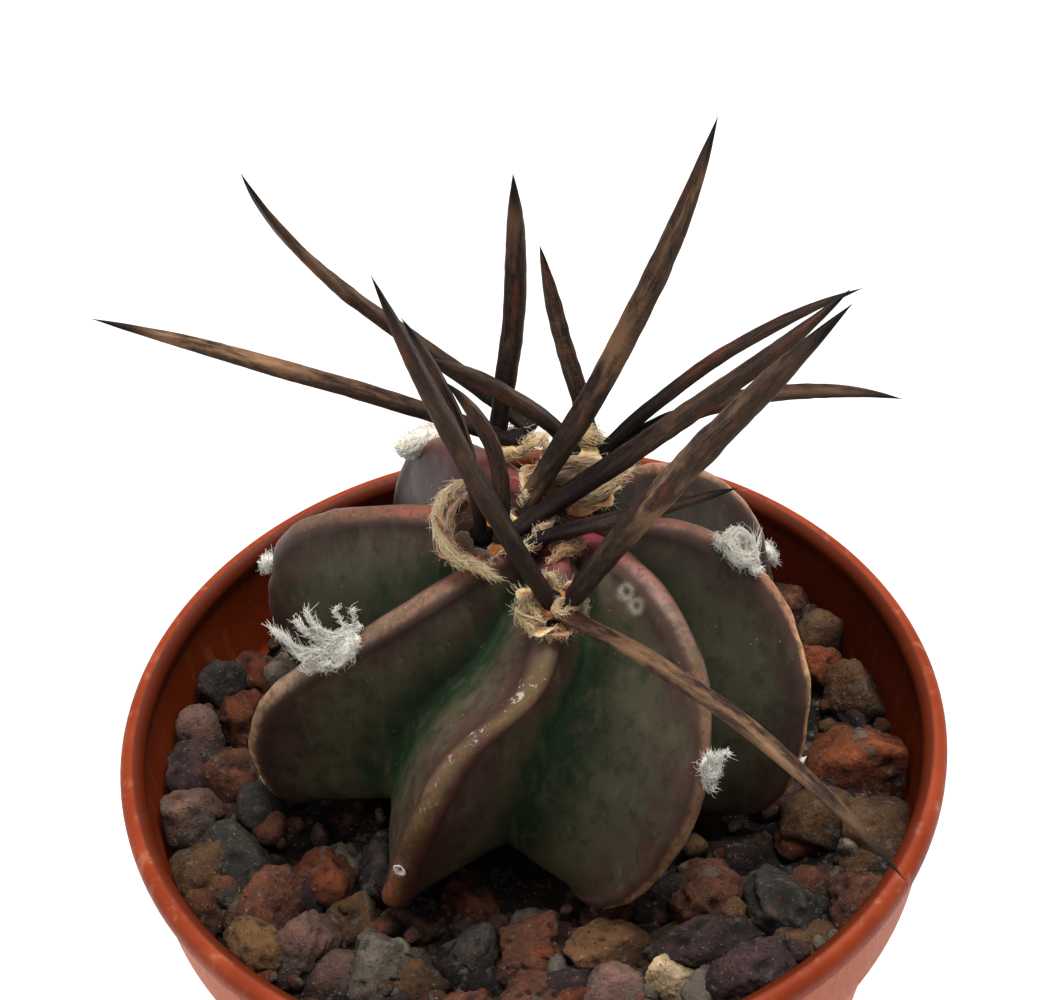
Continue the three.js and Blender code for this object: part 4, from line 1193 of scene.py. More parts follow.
def loose_stones():
    """The stones that fill the gaps: place, size, heading and number, by the solids' own rule."""
    draw = drawer(FILL_SEED)
    for _ in range(len(STONES) * DRAWS_OF_A_STONE):
        draw()
    for i in range(FILL_COUNT):
        share = (i + 0.5) / FILL_COUNT
        out = math.sqrt(FILL_FIRST**2 + (FILL_LAST**2 - FILL_FIRST**2) * share)
        turn = math.radians(i * FILL_TURN)
        size = FILL_SIZE * (0.75 + 0.5 * draw())
        low = 0.9 * draw()
        x, y = out * math.cos(turn), out * math.sin(turn)
        if math.hypot(x - AXIS_X, y - AXIS_Y) < FILL_CLEAR:
            continue
        high = size * 0.75
        heading = draw() * 360
        for _ in range(DRAWS_OF_A_STONE):
            draw()
        spot = (x, y, grit_level(x, y) - 0.4 - high / 2 - low)
        yield spot, (size * 1.15, size * 0.9, high), heading, i


def add_grit(settings):
    material = lava_material()
    fine, middling, small, smallest = ball(5), ball(4), ball(3), ball(2)
    front, back, loose, crumbs = Shape(), Shape(), Shape(), Shape()
    for i, (x, y, long, wide, high, heading, kind) in enumerate(STONES):
        spot = (x, y, grit_level(x, y) + 0.6 - high / 2)
        size = np.array([long, wide, high]) * STONE_SWELL
        stone(front if y < -5 else back, fine if y < -11 else middling, spot, size, heading, kind, 100 + i)
    for spot, size, heading, i in loose_stones():
        kind = LOOSE_KINDS[(i * 7) % len(LOOSE_KINDS)]
        stone(loose, middling, spot, size, heading, kind, 300 + i)
    rng = np.random.default_rng(settings.seed)
    for i in range(settings.crumbs):
        out = math.sqrt(rng.uniform(CRUMBS_FROM**2, CRUMBS_TO**2))
        turn = rng.uniform(0, 2 * math.pi)
        size = rng.uniform(*CRUMB_SIZES)
        x, y = out * math.cos(turn), out * math.sin(turn)
        spot = (x, y, grit_level(x, y) - rng.uniform(*CRUMB_DEPTHS))
        kind = LOOSE_KINDS[int(rng.integers(len(LOOSE_KINDS)))]
        sides = size * rng.uniform(0.6, 1.1, size=3)
        stone(crumbs, small if size > 1.6 else smallest, spot, sides, rng.uniform(0, 360), kind, 600 + i)
    front.piece("lava_stones_front", material, "lava_grit", ["gritty_mix"])
    back.piece("lava_stones_back", material, "lava_grit", ["gritty_mix"])
    loose.piece("lava_stones_between", material, "lava_grit", ["gritty_mix"])
    crumbs.piece("lava_crumbs", material, "lava_grit", ["gritty_mix"])
    add_bed(material)


def add_bed(material):
    """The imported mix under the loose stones, which fills the pot."""
    top = wall_radius(MIX_LEVEL) - GAP
    wall = [
        (0, FLOOR + GAP),
        (BASE_RADIUS - WALL - EDGE - GAP, FLOOR + GAP),
        (BASE_RADIUS - WALL - GAP, FLOOR + EDGE + GAP),
        (SHOULDER_OUTER - WALL - GAP, SHOULDER),
    ]
    line = np.array(wall + [(top * share, MIX_LEVEL) for share in np.linspace(1, 0, BED_RINGS)])
    shape = turned(line, BED_SIDES, pit=np.zeros(len(line)))
    points = shape.points[0]
    on_top = (points[:, 2] > MIX_LEVEL - 0.1) & (np.hypot(points[:, 0], points[:, 1]) < top - 0.2)
    high = grit_level(points[on_top, 0], points[on_top, 1]) - GRIT_LEVEL
    points[on_top, 2] += 0.6 * rough(points[on_top], 1.2, 3) + high
    # Painted shade: the mix is coloured near black, so the gaps between the stones read as shadow.
    shape.values["tone"] = [np.tile(srgb(22, 16, 14)[:3], (len(points), 1))]
    shape.piece("grit_bed", material, "lava_grit", ["gritty_mix"])


# The body. A scar is a ring round a spot, with its radius. The swelling has a spot, a radius and a height.
SCARS = [((7.77, -1.99, 70.95), 0.5), ((8.42, -3.07, 70.5), 0.48)]
SWELLING = ((-8.4, -13.4, 48.9), 2.1, 1.5)
SWELLING_WAY = np.array([0.25, -0.85, -0.3])


def rib_columns(settings):
    """One side of a rib's section, as angles round its edge and then shares of the way down its flank."""
    for turn in np.linspace(0, math.pi / 2, settings.edge_points + 1)[1:]:
        yield "edge", turn
    for share in np.linspace(0, 1, settings.flank_points + 1)[1:] ** 1.25:
        yield "flank", share


def body_rows(settings):
    """Rows of points round the body from the crown to the foot, with what the skin's colours need."""
    down = np.linspace(0, 1, settings.rows)
    furrows = [furrow_point(i, down) for i in range(len(RIBS))]
    columns, values = [], []
    for i in range(len(RIBS)):
        edge, left, right = crest_point(i, down), furrows[i - 1], furrows[i]
        side = (right - left) / 2
        half = np.linalg.norm(side, axis=1, keepdims=True)
        inward = (left + right) / 2 - edge
        depth = np.maximum(np.linalg.norm(inward, axis=1, keepdims=True), 0.4)
        thick = np.minimum(np.minimum(CREST_HALF, half * 0.72), depth * 0.4)
        inward, side = inward / depth, side / half
        one_side = []
        for kind, place_on in rib_columns(settings):
            if kind == "edge":
                behind, wide = thick * (1 - math.cos(place_on)), thick * math.sin(place_on)
                gone, share = thick * place_on, 0 * thick
            else:
                behind = thick + (depth - thick) * place_on
                belly = settings.puff * math.sin(math.pi * place_on) ** 2 * np.minimum(1, depth / 6)
                wide = thick + (half - thick) * place_on**1.35 + belly
                gone, share = thick * math.pi / 2 + behind - thick, place_on + 0 * thick
            one_side.append((behind, wide, gone, share))
        middle = (0 * thick, 0 * thick, 0 * thick, 0 * thick)
        section = [(-1, part) for part in one_side[::-1]] + [(1, part) for part in (middle, *one_side[:-1])]
        for hand, (behind, wide, gone, share) in section:
            columns.append(edge + inward * behind + side * wide * hand)
            values.append((i + 0 * share, gone * hand, share))
    rib, beside, groove = (np.concatenate(part, axis=1) for part in zip(*values))
    down = np.repeat(down[:, None], rib.shape[1], 1)
    return np.stack(columns, axis=1), rib.astype(int), beside, groove, down


def outward(points):
    """The normals of a surface of rows that run round."""
    along = np.gradient(points, axis=0)
    around = np.roll(points, -1, axis=1) - np.roll(points, 1, axis=1)
    return unit(np.cross(along, around))


def edge_tones(rib, down, points):
    """The colour of each rib's edge, which drifts through the rib's tones on its way down."""
    tone = np.zeros((*down.shape, 3))
    drift = np.clip(down + 0.09 * ripple(points, 3.0, 61), 0, 1)
    for i, each in enumerate(RIBS):
        colours = np.array([srgb(*TONES[name])[:3] for name in each["tones"]])
        tone[rib == i] = between(drift, np.linspace(0, 1, len(colours)), colours)[rib == i]
    return tone


def skin_marks(points, rib, beside, down, near_edge):
    """Where the skin is crusted, flushed with red and scarred."""
    crust = (rib == 0) * hill(beside + 0.4, 1.1) * steps_of(0.2, 0.35, down)
    crust = crust * (0.3 + 0.85 * ripple(points, 1.9, 46))
    crust = np.maximum(crust, 0.5 * near_edge * (ripple(points, 3.1, 47) - 0.35))
    flush = (rib == 0) * hill(beside - 1.3, 0.45) * steps_of(0.3, 0.4, down) * 0.2
    at_crown = (1 - steps_of(0.0, 0.15, down)) * steps_of(0.0, 0.06, down)
    flush = np.maximum(flush, at_crown * np.maximum(near_edge, 0.15))
    own_flush = np.array([each.get("flush", 0) for each in RIBS])[rib]
    flush = np.maximum(flush, own_flush * (1 - steps_of(0.25, 0.55, down)))
    scar = np.zeros(down.shape)
    for spot, radius in SCARS:
        scar = np.maximum(scar, hill(distance(points, spot) - radius, 0.2))
    return dict(crust=crust, flush=flush, scar=scar)


def add_body(settings):
    points, rib, beside, groove, down = body_rows(settings)
    from_edge = np.abs(beside)
    normal = outward(points)
    near_edge = hill(from_edge, 1.7)
    lumps = 0.14 * ripple(points, 5.0, 41) + 0.06 * ripple(points, 2.2, 42) + 0.02 * ripple(points, 0.9, 43)
    knots = (0.14 * ripple(points, 2.6, 44) + 0.07 * ripple(points, 1.1, 45)) * near_edge
    points = points + normal * ((lumps + knots) * steps_of(0.0, 0.12, down))[..., None]
    for tuft in OLD_WOOL.values():
        spot = crest_point(tuft["rib"], np.array([tuft["down"]]))[0]
        points = points - normal * (0.3 * hill(distance(points, spot), 1.5))[..., None]
    spot, radius, height = SWELLING
    swollen = hill(distance(points, spot), radius)
    points = points + SWELLING_WAY * (height * swollen)[..., None]
    rings, padded = with_root_and_crown(points)
    # Painted shade on each rib's flanks, by the amounts in its row of the table, kept off its edge.
    dim = np.zeros(down.shape)
    for i, each in enumerate(RIBS):
        dim[rib == i] = np.interp(down, (0.1, 0.5, 0.9), each["dim"])[rib == i]
    values = dict(
        from_edge=from_edge * np.array([each.get("band", 1) for each in RIBS])[rib],
        groove=groove,
        edge_tone=edge_tones(rib, down, points),
        fresh=swollen,
        dim=dim * steps_of(0.6, 2.2, from_edge),
        **skin_marks(points, rib, beside, down, near_edge),
    )
    shape = Shape()
    shape.tube(rings[::-1], **{key: padded(value)[::-1] for key, value in values.items()})
    shape.piece("ribbed_body", skin_material(settings), "skin", ["cactus_body"])


def with_root_and_crown(points):
    """The body's rows with rings added over the crown and under the foot, and a function that repeats the
    values of the first and last row for them."""
    middle = place(0.0, 0.0, np.array(float(GRIT_LEVEL)))
    last = points[-1]
    way = np.arctan2(last[:, 1] - middle[1], last[:, 0] - middle[0])

    def root_ring(radius, z):
        x, y = middle[0] + radius * np.cos(way), middle[1] + radius * np.sin(way)
        return np.stack([x, y, np.full(len(way), float(z))], axis=-1)

    neck = root_ring(ROOT_RADIUS, GRIT_LEVEL - 1.2)
    under = []
    for share in (0.12, 0.3, 0.5, 0.75):
        ring = last * (1 - share) + neck * share
        ring[:, 2] -= 0.4 * math.sin(math.pi * share)
        under.append(ring)
    top = (points[0] + place(0.0, 0.0, np.array(CROWN_Z))) / 2
    top[:, 2] = CROWN_Z - 0.4
    root = root_ring(ROOT_RADIUS * 0.55, GRIT_LEVEL - ROOT_DEPTH)
    rings = np.stack([top, *points, *under, neck, root])

    def padded(values):
        return np.concatenate([values[:1], values, np.repeat(values[-1:], len(under) + 2, axis=0)])

    return rings, padded


# The spines
def spine_course(base, spine, settings, seed):
    """A spine's middle line, with the ways across it and above it at each step, and how far along it is."""
    rng = np.random.default_rng(seed)
    share = np.linspace(0, 1, settings.steps + 1)
    half = (share[1:] + share[:-1]) / 2

    def way(s):
        return ways(spine.heading + spine.turn * s, spine.rise + spine.lift * s)

    start = np.array([base[0] + spine.start[0], base[1] + spine.start[1], base[2]])
    walk = np.cumsum(way(half) * spine.length / settings.steps, axis=0)
    centre = start + np.concatenate([[[0, 0, 0]], walk])
    centre = centre + np.array(spine.bow) * ((1 - share) ** 2)[:, None]
    course = np.radians(spine.heading + spine.turn * share)
    sideways = np.stack([-np.sin(course), np.cos(course), 0 * course], axis=-1)
    upward = unit(np.cross(way(share), sideways))
    along = share * spine.length
    path = np.stack([along, 0 * along, 0 * along + seed], axis=-1)
    wander = 0.16 * steps_of(0.0, 0.3, share) * (1 - share)
    centre = centre + sideways * (wander * ripple(path, 5.5, 51))[:, None]
    centre = centre + upward * (wander * ripple(path, 4.5, 52))[:, None]
    twist = np.radians(rng.uniform(-22, 22)) * share
    side = sideways * np.cos(twist)[:, None] + upward * np.sin(twist)[:, None]
    rise = upward * np.cos(twist)[:, None] - sideways * np.sin(twist)[:, None]
    return centre, side, rise, path


def spine_rings(base, spine, settings, seed):
    """A flattened horn with a shallow channel, that narrows to its tip and wrinkles across."""
    centre, side, rise, path = spine_course(base, spine, settings, seed)
    share = np.linspace(0, 1, settings.steps + 1)
    left = np.minimum((1 - share) / SPINE_TAPER, 1)
    swell = np.maximum(1 - (1 - left) ** 3.3, 0.02) * (0.8 + 0.2 * np.minimum(1, share / 0.25))
    swell = swell * (1 + 0.045 * ripple(path, 2.4, 53) + 0.03 * ripple(path, 0.9, 54))
    wide = spine.width / 2 * swell * spine.slim
    turn = circle(settings.sides)
    across = np.sign(np.cos(turn)) * np.abs(np.cos(turn)) ** 0.8
    above = np.sign(np.sin(turn)) * np.abs(np.sin(turn)) ** 0.8
    above = above * (1 - 0.3 * hill(across, 0.45))
    rings = centre[:, None] + side[:, None] * (wide[:, None] * across)[..., None]
    rings = rings + rise[:, None] * (wide[:, None] * SPINE_FLATNESS * above)[..., None]
    level = np.zeros((len(share), len(turn)))
    grain = np.stack([level + np.cos(turn), level + np.sin(turn), level + path[:, :1] + 40 * seed], axis=-1)
    wrinkle = 0.035 * ripple(grain * np.array([0.5, 0.5, 1.6]), 1.0, 55) * np.minimum(1, wide * 1.4)[:, None]
    rings = rings + unit(rings - centre[:, None]) * wrinkle[..., None]
    worn = steps_of(-0.3, 0.6, ripple(path, 7.0, 56)) * 0.6 + 0.4
    if spine.patch is not None:
        worn = worn + 1.4 * hill(share - spine.patch, 0.09)
    return rings, dict(
        grain=grain,
        along=level + share[:, None],
        worn=level + (worn * spine.pale)[:, None],
        # Where the painted highlight lies: strongest at the spine's two edges.
        rim=level + np.abs(across) ** 4,
    )


def add_spines(settings):
    material = horn_material(settings)
    seed = 1
    for name, areole in AREOLES.items():
        shape = Shape()
        way, faces = ball(4)
        knob = way * (1 + 0.1 * rough(way, 0.5, seed)[:, None]) * np.array(areole["knob"]) * 0.62
        shape.add(knob + areole["at"], [faces], grain=way * 2 + seed, along=0, worn=0, rim=0)
        for spine in areole["spines"]:
            rings, values = spine_rings(areole["at"], spine, settings, seed)
            shape.tube(rings, **values)
            seed += 1
        shape.piece(f"horn_spines_{name}", material, "spine", [f"spines_{name}"])


# The wool
HAIR_SIDES = 3
FLAP_ACROSS = 64
FLAP_UP = 13
SKEIN_ROWS = 30
SKEIN_SIDES = 10
SKEIN_HAIR_POINTS = 6
FLATTENED = np.array([1, 1, 0.4])


def sides_of(line):
    """Which way a line runs at each of its points, and two ways across it."""
    tangent = unit(np.gradient(line, axis=-2))
    side = unit(np.cross(tangent, OFF_AXIS))
    return tangent, side, np.cross(tangent, side)


def strands(shape, paths, thick, tint, brown):
    """Thin three-sided hairs along these paths, each narrowing to its end."""
    count, points = paths.shape[:2]
    _, side, above = sides_of(paths)
    taper = (1 - 0.7 * np.linspace(0, 1, points) ** 2) * thick / 2
    rings = [
        paths + (side * math.cos(turn) + above * math.sin(turn)) * taper[None, :, None]
        for turn in circle(HAIR_SIDES)
    ]
    each = points * HAIR_SIDES
    starts = np.arange(count)[:, None, None] * each
    walls = (grid_faces(points, HAIR_SIDES)[None] + starts).reshape(-1, 4)
    ends = np.array([[0, 2, 1], [each - 3, each - 2, each - 1]])
    caps = (ends[None] + starts).reshape(-1, 3)
    spots = np.stack(rings, axis=2).reshape(count * each, 3)
    shape.add(spots, [walls, caps], tint=np.repeat(tint, each), brown=np.repeat(brown, each))


def curls(rng, roots, aims, lengths, curl, points=8, toward=None):
    """Paths that set out along their aims and bend round as they go, each in its own plane."""
    aims = unit(aims)
    sidewise = rng.normal(size=aims.shape) if toward is None else toward
    sidewise = unit(sidewise - aims * (sidewise * aims).sum(axis=1, keepdims=True))
    path = [roots]
    for k in range(1, points):
        turn = (curl * ((k - 0.5) / (points - 1)) ** 1.2)[:, None]
        way = aims * np.cos(turn) + sidewise * np.sin(turn)
        path.append(path[-1] + way * (lengths / (points - 1))[:, None])
    return np.stack(path, axis=1)


def locks(rng, guides, each, spread):
    """Hairs that run along guide paths, with a wave of their own."""
    share = np.linspace(0, 1, guides.shape[1])[None, :, None]
    paths = np.repeat(guides, each, axis=0)
    count = len(paths)
    offset = unit(rng.normal(size=(count, 1, 3))) * rng.random((count, 1, 1)) ** 0.5
    wave = rng.normal(size=(count, 1, 3)) * 0.4
    pace = rng.uniform(3, 8, size=(count, 1, 1))
    swing = np.sin(rng.uniform(0, 6.28, size=(count, 1, 1)) + share * pace)
    paths = paths + spread * (offset * (0.6 + 0.9 * share) + wave * swing)
    root = paths[:, :1]
    return root + (paths - root) * rng.uniform(0.55, 1.1, size=(count, 1, 1))


def fuzz(shape, rng, skin, run, count, longest, brown, settings):
    """Fine short hairs that lie along a surface and curl off it."""
    picked = rng.integers(len(skin), size=count)
    aims = unit(run[picked]) + rng.normal(scale=0.45, size=(count, 3))
    lengths = longest * rng.uniform(0.3, 1.0, size=count)
    paths = curls(rng, skin[picked], aims, lengths, rng.normal(scale=2.6, size=count), points=5)
    tones = brown + rng.normal(scale=0.2, size=count)
    strands(shape, paths, settings.thickness * rng.uniform(0.6, 1.1), rng.random(count), tones)


def felt(shape, ball_of, middle, lump, seed):
    """A lump of matted wool beside a middle."""
    way, faces = ball_of
    spot = middle + ways(lump.turn, 0) * lump.out + np.array([0, 0, lump.high])
    ragged = 1 + 0.16 * rough(way + seed, 0.7, seed) + 0.09 * rough(way * FLATTENED + seed, 0.16, seed + 3)
    points = way * ragged[:, None] * np.array(lump.size) / 2
    points = points @ turn_about("Z", lump.turn + 90).T + spot
    shape.add(points, [faces], tint=0.5 + 0.5 * ripple(points, 0.3, seed), brown=lump.brown)


def flap(shape, middle, basis, look, seed):
    """A sheet of felt that stands round a middle and rolls outward at its ragged lip. Returns points of its
    outer side, and which way the sheet runs there."""
    turn = np.radians(np.linspace(look.turn - look.arc / 2, look.turn + look.arc / 2, FLAP_ACROSS))
    share = np.linspace(0, 1, FLAP_UP)
    spots = np.stack([np.cos(turn) * look.out, np.sin(turn) * look.out, 0 * turn + seed * 7.3], axis=-1)
    end = np.ones(FLAP_ACROSS)
    if look.arc <= 300:
        end = np.sin(np.linspace(0.04, math.pi - 0.04, FLAP_ACROSS)) ** 0.4
    ragged = 1 + 0.3 * ripple(spots, 0.8, seed) + 0.16 * ripple(spots, 0.25, seed + 1)
    length = look.high * end * ragged
    lean = np.radians(look.lean) + 0.35 * ripple(spots, 1.0, seed + 2)
    bend = np.radians(look.roll) * (1 + 0.35 * ripple(spots, 0.8, seed + 3))
    angle = lean[:, None] + bend[:, None] * share[None] ** 1.5
    step = length[:, None] / (FLAP_UP - 1)
    ruffle = 0.3 * share[None] * ripple(spots, 0.55, seed + 4)[:, None]
    out = look.out * (0.75 + 0.25 * end[:, None]) + np.cumsum(np.sin(angle) * step, axis=1) + ruffle
    high = look.base + np.cumsum(np.cos(angle) * step, axis=1)
    thick = look.thick * (1 - 0.72 * share[None] ** 2) * (0.3 + 0.7 * end[:, None])
    sheets = []
    for face in (1, -1):
        r = out + face * thick / 2 * np.cos(angle)
        z = high - face * thick / 2 * np.sin(angle)
        points = np.stack([r * np.cos(turn)[:, None], r * np.sin(turn)[:, None], z], axis=-1)
        frayed = 0.06 * rough(points * FLATTENED + seed, 0.2, seed + 5)
        sheets.append(points + face * unit(points * np.array([1, 1, 0])) * frayed[..., None])
    rings = np.concatenate([sheets[0], sheets[1][:, ::-1]], axis=1)[::-1] @ basis + middle
    outer_brown = look.brown + 0.35 * (1 - share)
    inner_brown = look.brown + 0.95 - 1.0 * share**1.5
    brown = np.repeat(np.concatenate([outer_brown, inner_brown[::-1]])[None], FLAP_ACROSS, axis=0)
    shape.tube(rings, tint=0.45 + 0.5 * ripple(rings, 0.22, seed), brown=brown)
    outer = rings[:, :FLAP_UP]
    run = unit(np.gradient(outer, axis=1))
    return outer.reshape(-1, 3), run.reshape(-1, 3)


def stops_of(look, middle, basis):
    """The places that a skein runs through, in the frame of the solids."""
    if look.kind == "through":
        return np.array(look.stops, dtype=float)
    if look.kind == "along":
        return np.array(look.stops) @ basis + middle
    around = [ways(turn, 0) * out + (0, 0, high) for turn, out, high in look.stops]
    return np.array(around) + middle + (*look.shift, 0)


def skein(shape, rng, look, stops, brown, settings):
    """A band of matted wool through some places, in a coat of hairs that run along it and fray."""
    wide, hairs = look.wide, look.hairs
    leg = np.linalg.norm(np.diff(stops, axis=0), axis=1)
    gone = np.concatenate([[0], np.cumsum(leg)])
    share = np.linspace(0, 1, SKEIN_ROWS)
    line = between(share * gone[-1], gone, stops)
    for _ in range(8):
        line[1:-1] = (line[:-2] + 2 * line[1:-1] + line[2:]) / 4
    line[1:-1] += 0.3 * wide * rng.normal(size=3) * np.sin(share[1:-1, None] * 9 + rng.uniform(0, 6))
    tangent, side, above = sides_of(line)
    radius = wide * np.sin(np.linspace(0.15, math.pi - 0.15, SKEIN_ROWS)) ** 0.5
    turn = circle(SKEIN_SIDES)
    ring = side[:, None] * np.cos(turn)[None, :, None] + above[:, None] * np.sin(turn)[None, :, None]
    ragged = 1 + 0.3 * rough(line[:, None] + ring * wide, 0.4, hairs)
    rings = line[:, None] + ring * (radius[:, None] * 0.56 * ragged)[..., None]
    shape.tube(rings, tint=0.5 + 0.5 * ripple(rings, 0.3, hairs), brown=brown)
    start = rng.uniform(-0.12, 0.75, size=(hairs, 1))
    drawn = np.linspace(0, 1, SKEIN_HAIR_POINTS)
    course = start + rng.uniform(0.2, 0.5, size=(hairs, 1)) * drawn
    held = np.clip(course, 0, 1)
    twist = rng.uniform(0, 2 * math.pi, size=(hairs, 1)) + rng.normal(scale=1.4, size=(hairs, 1)) * drawn
    loose = np.abs(rng.normal(scale=0.3, size=(hairs, 1))) * drawn**2
    reach = np.interp(held, share, radius) * rng.uniform(0.5, 1.15, size=(hairs, 1)) + loose
    middle, on, beside, over = (between(held, share, values) for values in (line, tangent, side, above))
    round_it = beside * np.cos(twist)[..., None] + over * np.sin(twist)[..., None]
    paths = middle + on * ((course - held) * gone[-1])[..., None] + round_it * reach[..., None]
    wave = rng.normal(scale=0.1, size=(hairs, 1, 3))
    pace = rng.uniform(3, 9, size=(hairs, 1))
    paths = paths + wave * np.sin(pace * drawn + rng.uniform(0, 6, size=(hairs, 1)))[..., None]
    tones = brown + rng.normal(scale=0.2, size=hairs)
    strands(shape, paths, settings.thickness * rng.uniform(0.8, 1.2), rng.random(hairs) * 0.8, tones)
    run = (ring + 0.5 * tangent[:, None]).reshape(-1, 3)
    fuzz(shape, rng, rings.reshape(-1, 3), run, hairs // 2, 0.6 + wide, brown, settings)


def add_young_wool(name, tuft, settings, material):
    """Flaps, lumps and skeins of matted wool round the spines, with fine loose hairs."""
    seed = tuft["seed"]
    rng = np.random.default_rng(seed)
    shape = Shape()
    small = ball(4)
    middle = np.array(tuft["at"])
    for k, lump in enumerate(tuft["lumps"]):
        felt(shape, small, middle, lump, seed * 10 + k)
    share = tuft["fuzz"] // len(tuft["flaps"])
    for k, look in enumerate(tuft["flaps"]):
        skin, run = flap(shape, middle, np.eye(3), look, seed * 20 + k)
        fuzz(shape, rng, skin, run, share, settings.young_length, look.brown, settings)
    for look in tuft["skeins"]:
        skein(shape, rng, look, stops_of(look, middle, None), look.brown, settings)
    shape.piece(f"{name}_felt", material, "wool", [name])


def tuft_frame(rib, down, tip=0):
    """Where a tuft sits on its rib, and which way it faces: down the edge, across it and outward."""
    before, spot, after = (crest_point(rib, np.array([s]))[0] for s in (down - 0.04, down, down + 0.04))
    along = unit(after - before)
    out = spot - place(0.0, 0.0, np.array(spot[2]))
    out = unit(out - along * (out @ along))
    across = np.cross(out, along)
    lean = math.radians(tip)
    tipped = out * math.cos(lean) - across * math.sin(lean)
    return spot, np.stack([along, np.cross(tipped, along), tipped])


def wrapped_locks(rng, tuft):
    """Guide paths for the locks that wrap round a tuft's pad."""
    count = tuft["wrapped"]
    start = rng.uniform(0, 2 * math.pi, size=count)
    radius = rng.uniform(0.35, 0.62, size=count) * tuft["wrap"]
    hand = np.where(rng.random(count) < 0.7, 1, -1)
    ring = np.stack([np.cos(start), np.sin(start), 0 * start], axis=-1)
    tangent = np.stack([-np.sin(start), np.cos(start), 0 * start], axis=-1) * hand[:, None]
    roots = ring * radius[:, None] + UPRIGHT * (tuft["pad"][2] * rng.uniform(0.2, 0.95, size=count))[:, None]
    lengths = rng.uniform(1.3, 2.6, size=count) * tuft["wrap"]
    aims = tangent + UPRIGHT * rng.uniform(-0.25, 0.5, size=(count, 1))
    bend = lengths / radius * rng.uniform(0.5, 0.9, size=count)
    return curls(rng, roots, aims, lengths, bend, 9, toward=-ring)


def free_locks(rng, tuft):
    """Guide paths for the locks that run out of a tuft."""
    look = tuft["locks"]
    count = look.count
    aims = ways(rng.uniform(*look.turn, size=count), rng.uniform(*look.rise, size=count))
    roots = aims * np.array(tuft["pad"]) * rng.uniform(0.3, 0.8, size=(count, 1))
    lengths = rng.uniform(*look.length, size=count)
    curl = np.radians(rng.uniform(*look.curl, size=count)) * np.where(rng.random(count) < 0.75, 1, -1)
    up = UPRIGHT + rng.normal(scale=0.5, size=(count, 3))
    return curls(rng, roots, aims, lengths, curl, 12, toward=up)


def add_old_wool(name, tuft, settings, material):
    """A bleached pad of felt on the rib's edge, with locks wrapped round it and locks that run out of it."""
    seed, own_brown = tuft["seed"], tuft["brown"]
    rng = np.random.default_rng(seed)
    shape = Shape()
    spot, basis = tuft_frame(tuft["rib"], tuft["down"], tuft["tip"])
    spot = spot + basis[0] * tuft["shift"] + basis[2] * tuft["lift"]
    way, faces = ball(5 if max(tuft["pad"]) > 2.1 else 4)
    ragged = 1 + tuft["ragged"] * (0.16 * rough(way + seed, 0.7, seed) + 0.1 * rough(way, 0.14, seed))
    local = way * ragged[:, None] * np.array(tuft["pad"]) * 0.82
    hollow = np.exp(-((way[:, 0] ** 2 + way[:, 1] ** 2) / 0.2)) * (way[:, 2] > 0) * tuft["bowl"]
    local[:, 2] *= 1 - hollow
    points = local @ basis + spot
    # The hollow is tinted toward the darker tone as painted shade, and made browner.
    tint = np.clip(0.35 + 0.4 * ripple(points, 0.3, seed) + 0.6 * hollow, 0, 1)
    shape.add(points, [faces], tint=tint, brown=1.4 * hollow + own_brown)
    run = rng.normal(size=way.shape)
    run = run - way * (run * way).sum(axis=1, keepdims=True)
    upper = way[:, 2] > -0.1
    fuzz(shape, rng, points[upper], run[upper], tuft["fuzz"], settings.old_length, own_brown, settings)
    for look in tuft["skeins"]:
        skein(shape, rng, look, stops_of(look, spot, basis), own_brown, settings)
    for guides_of, each, spread in ((wrapped_locks, 9, 0.13), (free_locks, 14, 0.11)):
        paths = locks(rng, guides_of(rng, tuft), each, spread) @ basis + spot
        brown = np.full(len(paths), OLD_WOOL_USUAL["brown"])
        strands(shape, paths, settings.thickness, rng.random(len(paths)) * 0.8, brown)
    shape.piece(f"{name}_tuft", material, "old_wool", [name])


def add_dots(settings, material):
    """Small bare areoles: a ring of white felt with a dark middle."""
    shape = Shape()
    for k, (rib, down) in enumerate(DOTS):
        spot, basis = tuft_frame(rib, down)
        flap(shape, spot, basis, DOT_RING, 900 + k)
    shape.piece("bare_areoles", material, "old_wool", ["cactus_body"])


def add_wool(settings):
    light, brown = (*settings.cream, 1.0), (*settings.rusty, 1.0)
    # The second colour of each wool is its darker tone, partly darker strands and partly painted shade.
    young = wool_material("wool", settings, light, srgb(200, 150, 80), brown)
    bleached = (*settings.white, 1.0)
    old = wool_material("old_wool", settings, bleached, srgb(246, 240, 224), srgb(206, 172, 126))
    for name, tuft in YOUNG_WOOL.items():
        add_young_wool(name, tuft, settings, young)
    for name, tuft in OLD_WOOL.items():
        add_old_wool(name, {**OLD_WOOL_USUAL, **tuft}, settings, old)
    add_dots(settings, old)


# The stage
def add_light(name, size, energy, spot, colour):
    lamp = bpy.data.lights.new(name, "AREA")
    lamp.shape, lamp.size, lamp.energy, lamp.color = "DISK", size, energy, colour
    made = add_to_scene(name, lamp)
    made.location = spot
    made.rotation_euler = (-Vector(spot)).to_track_quat("-Z", "Y").to_euler()


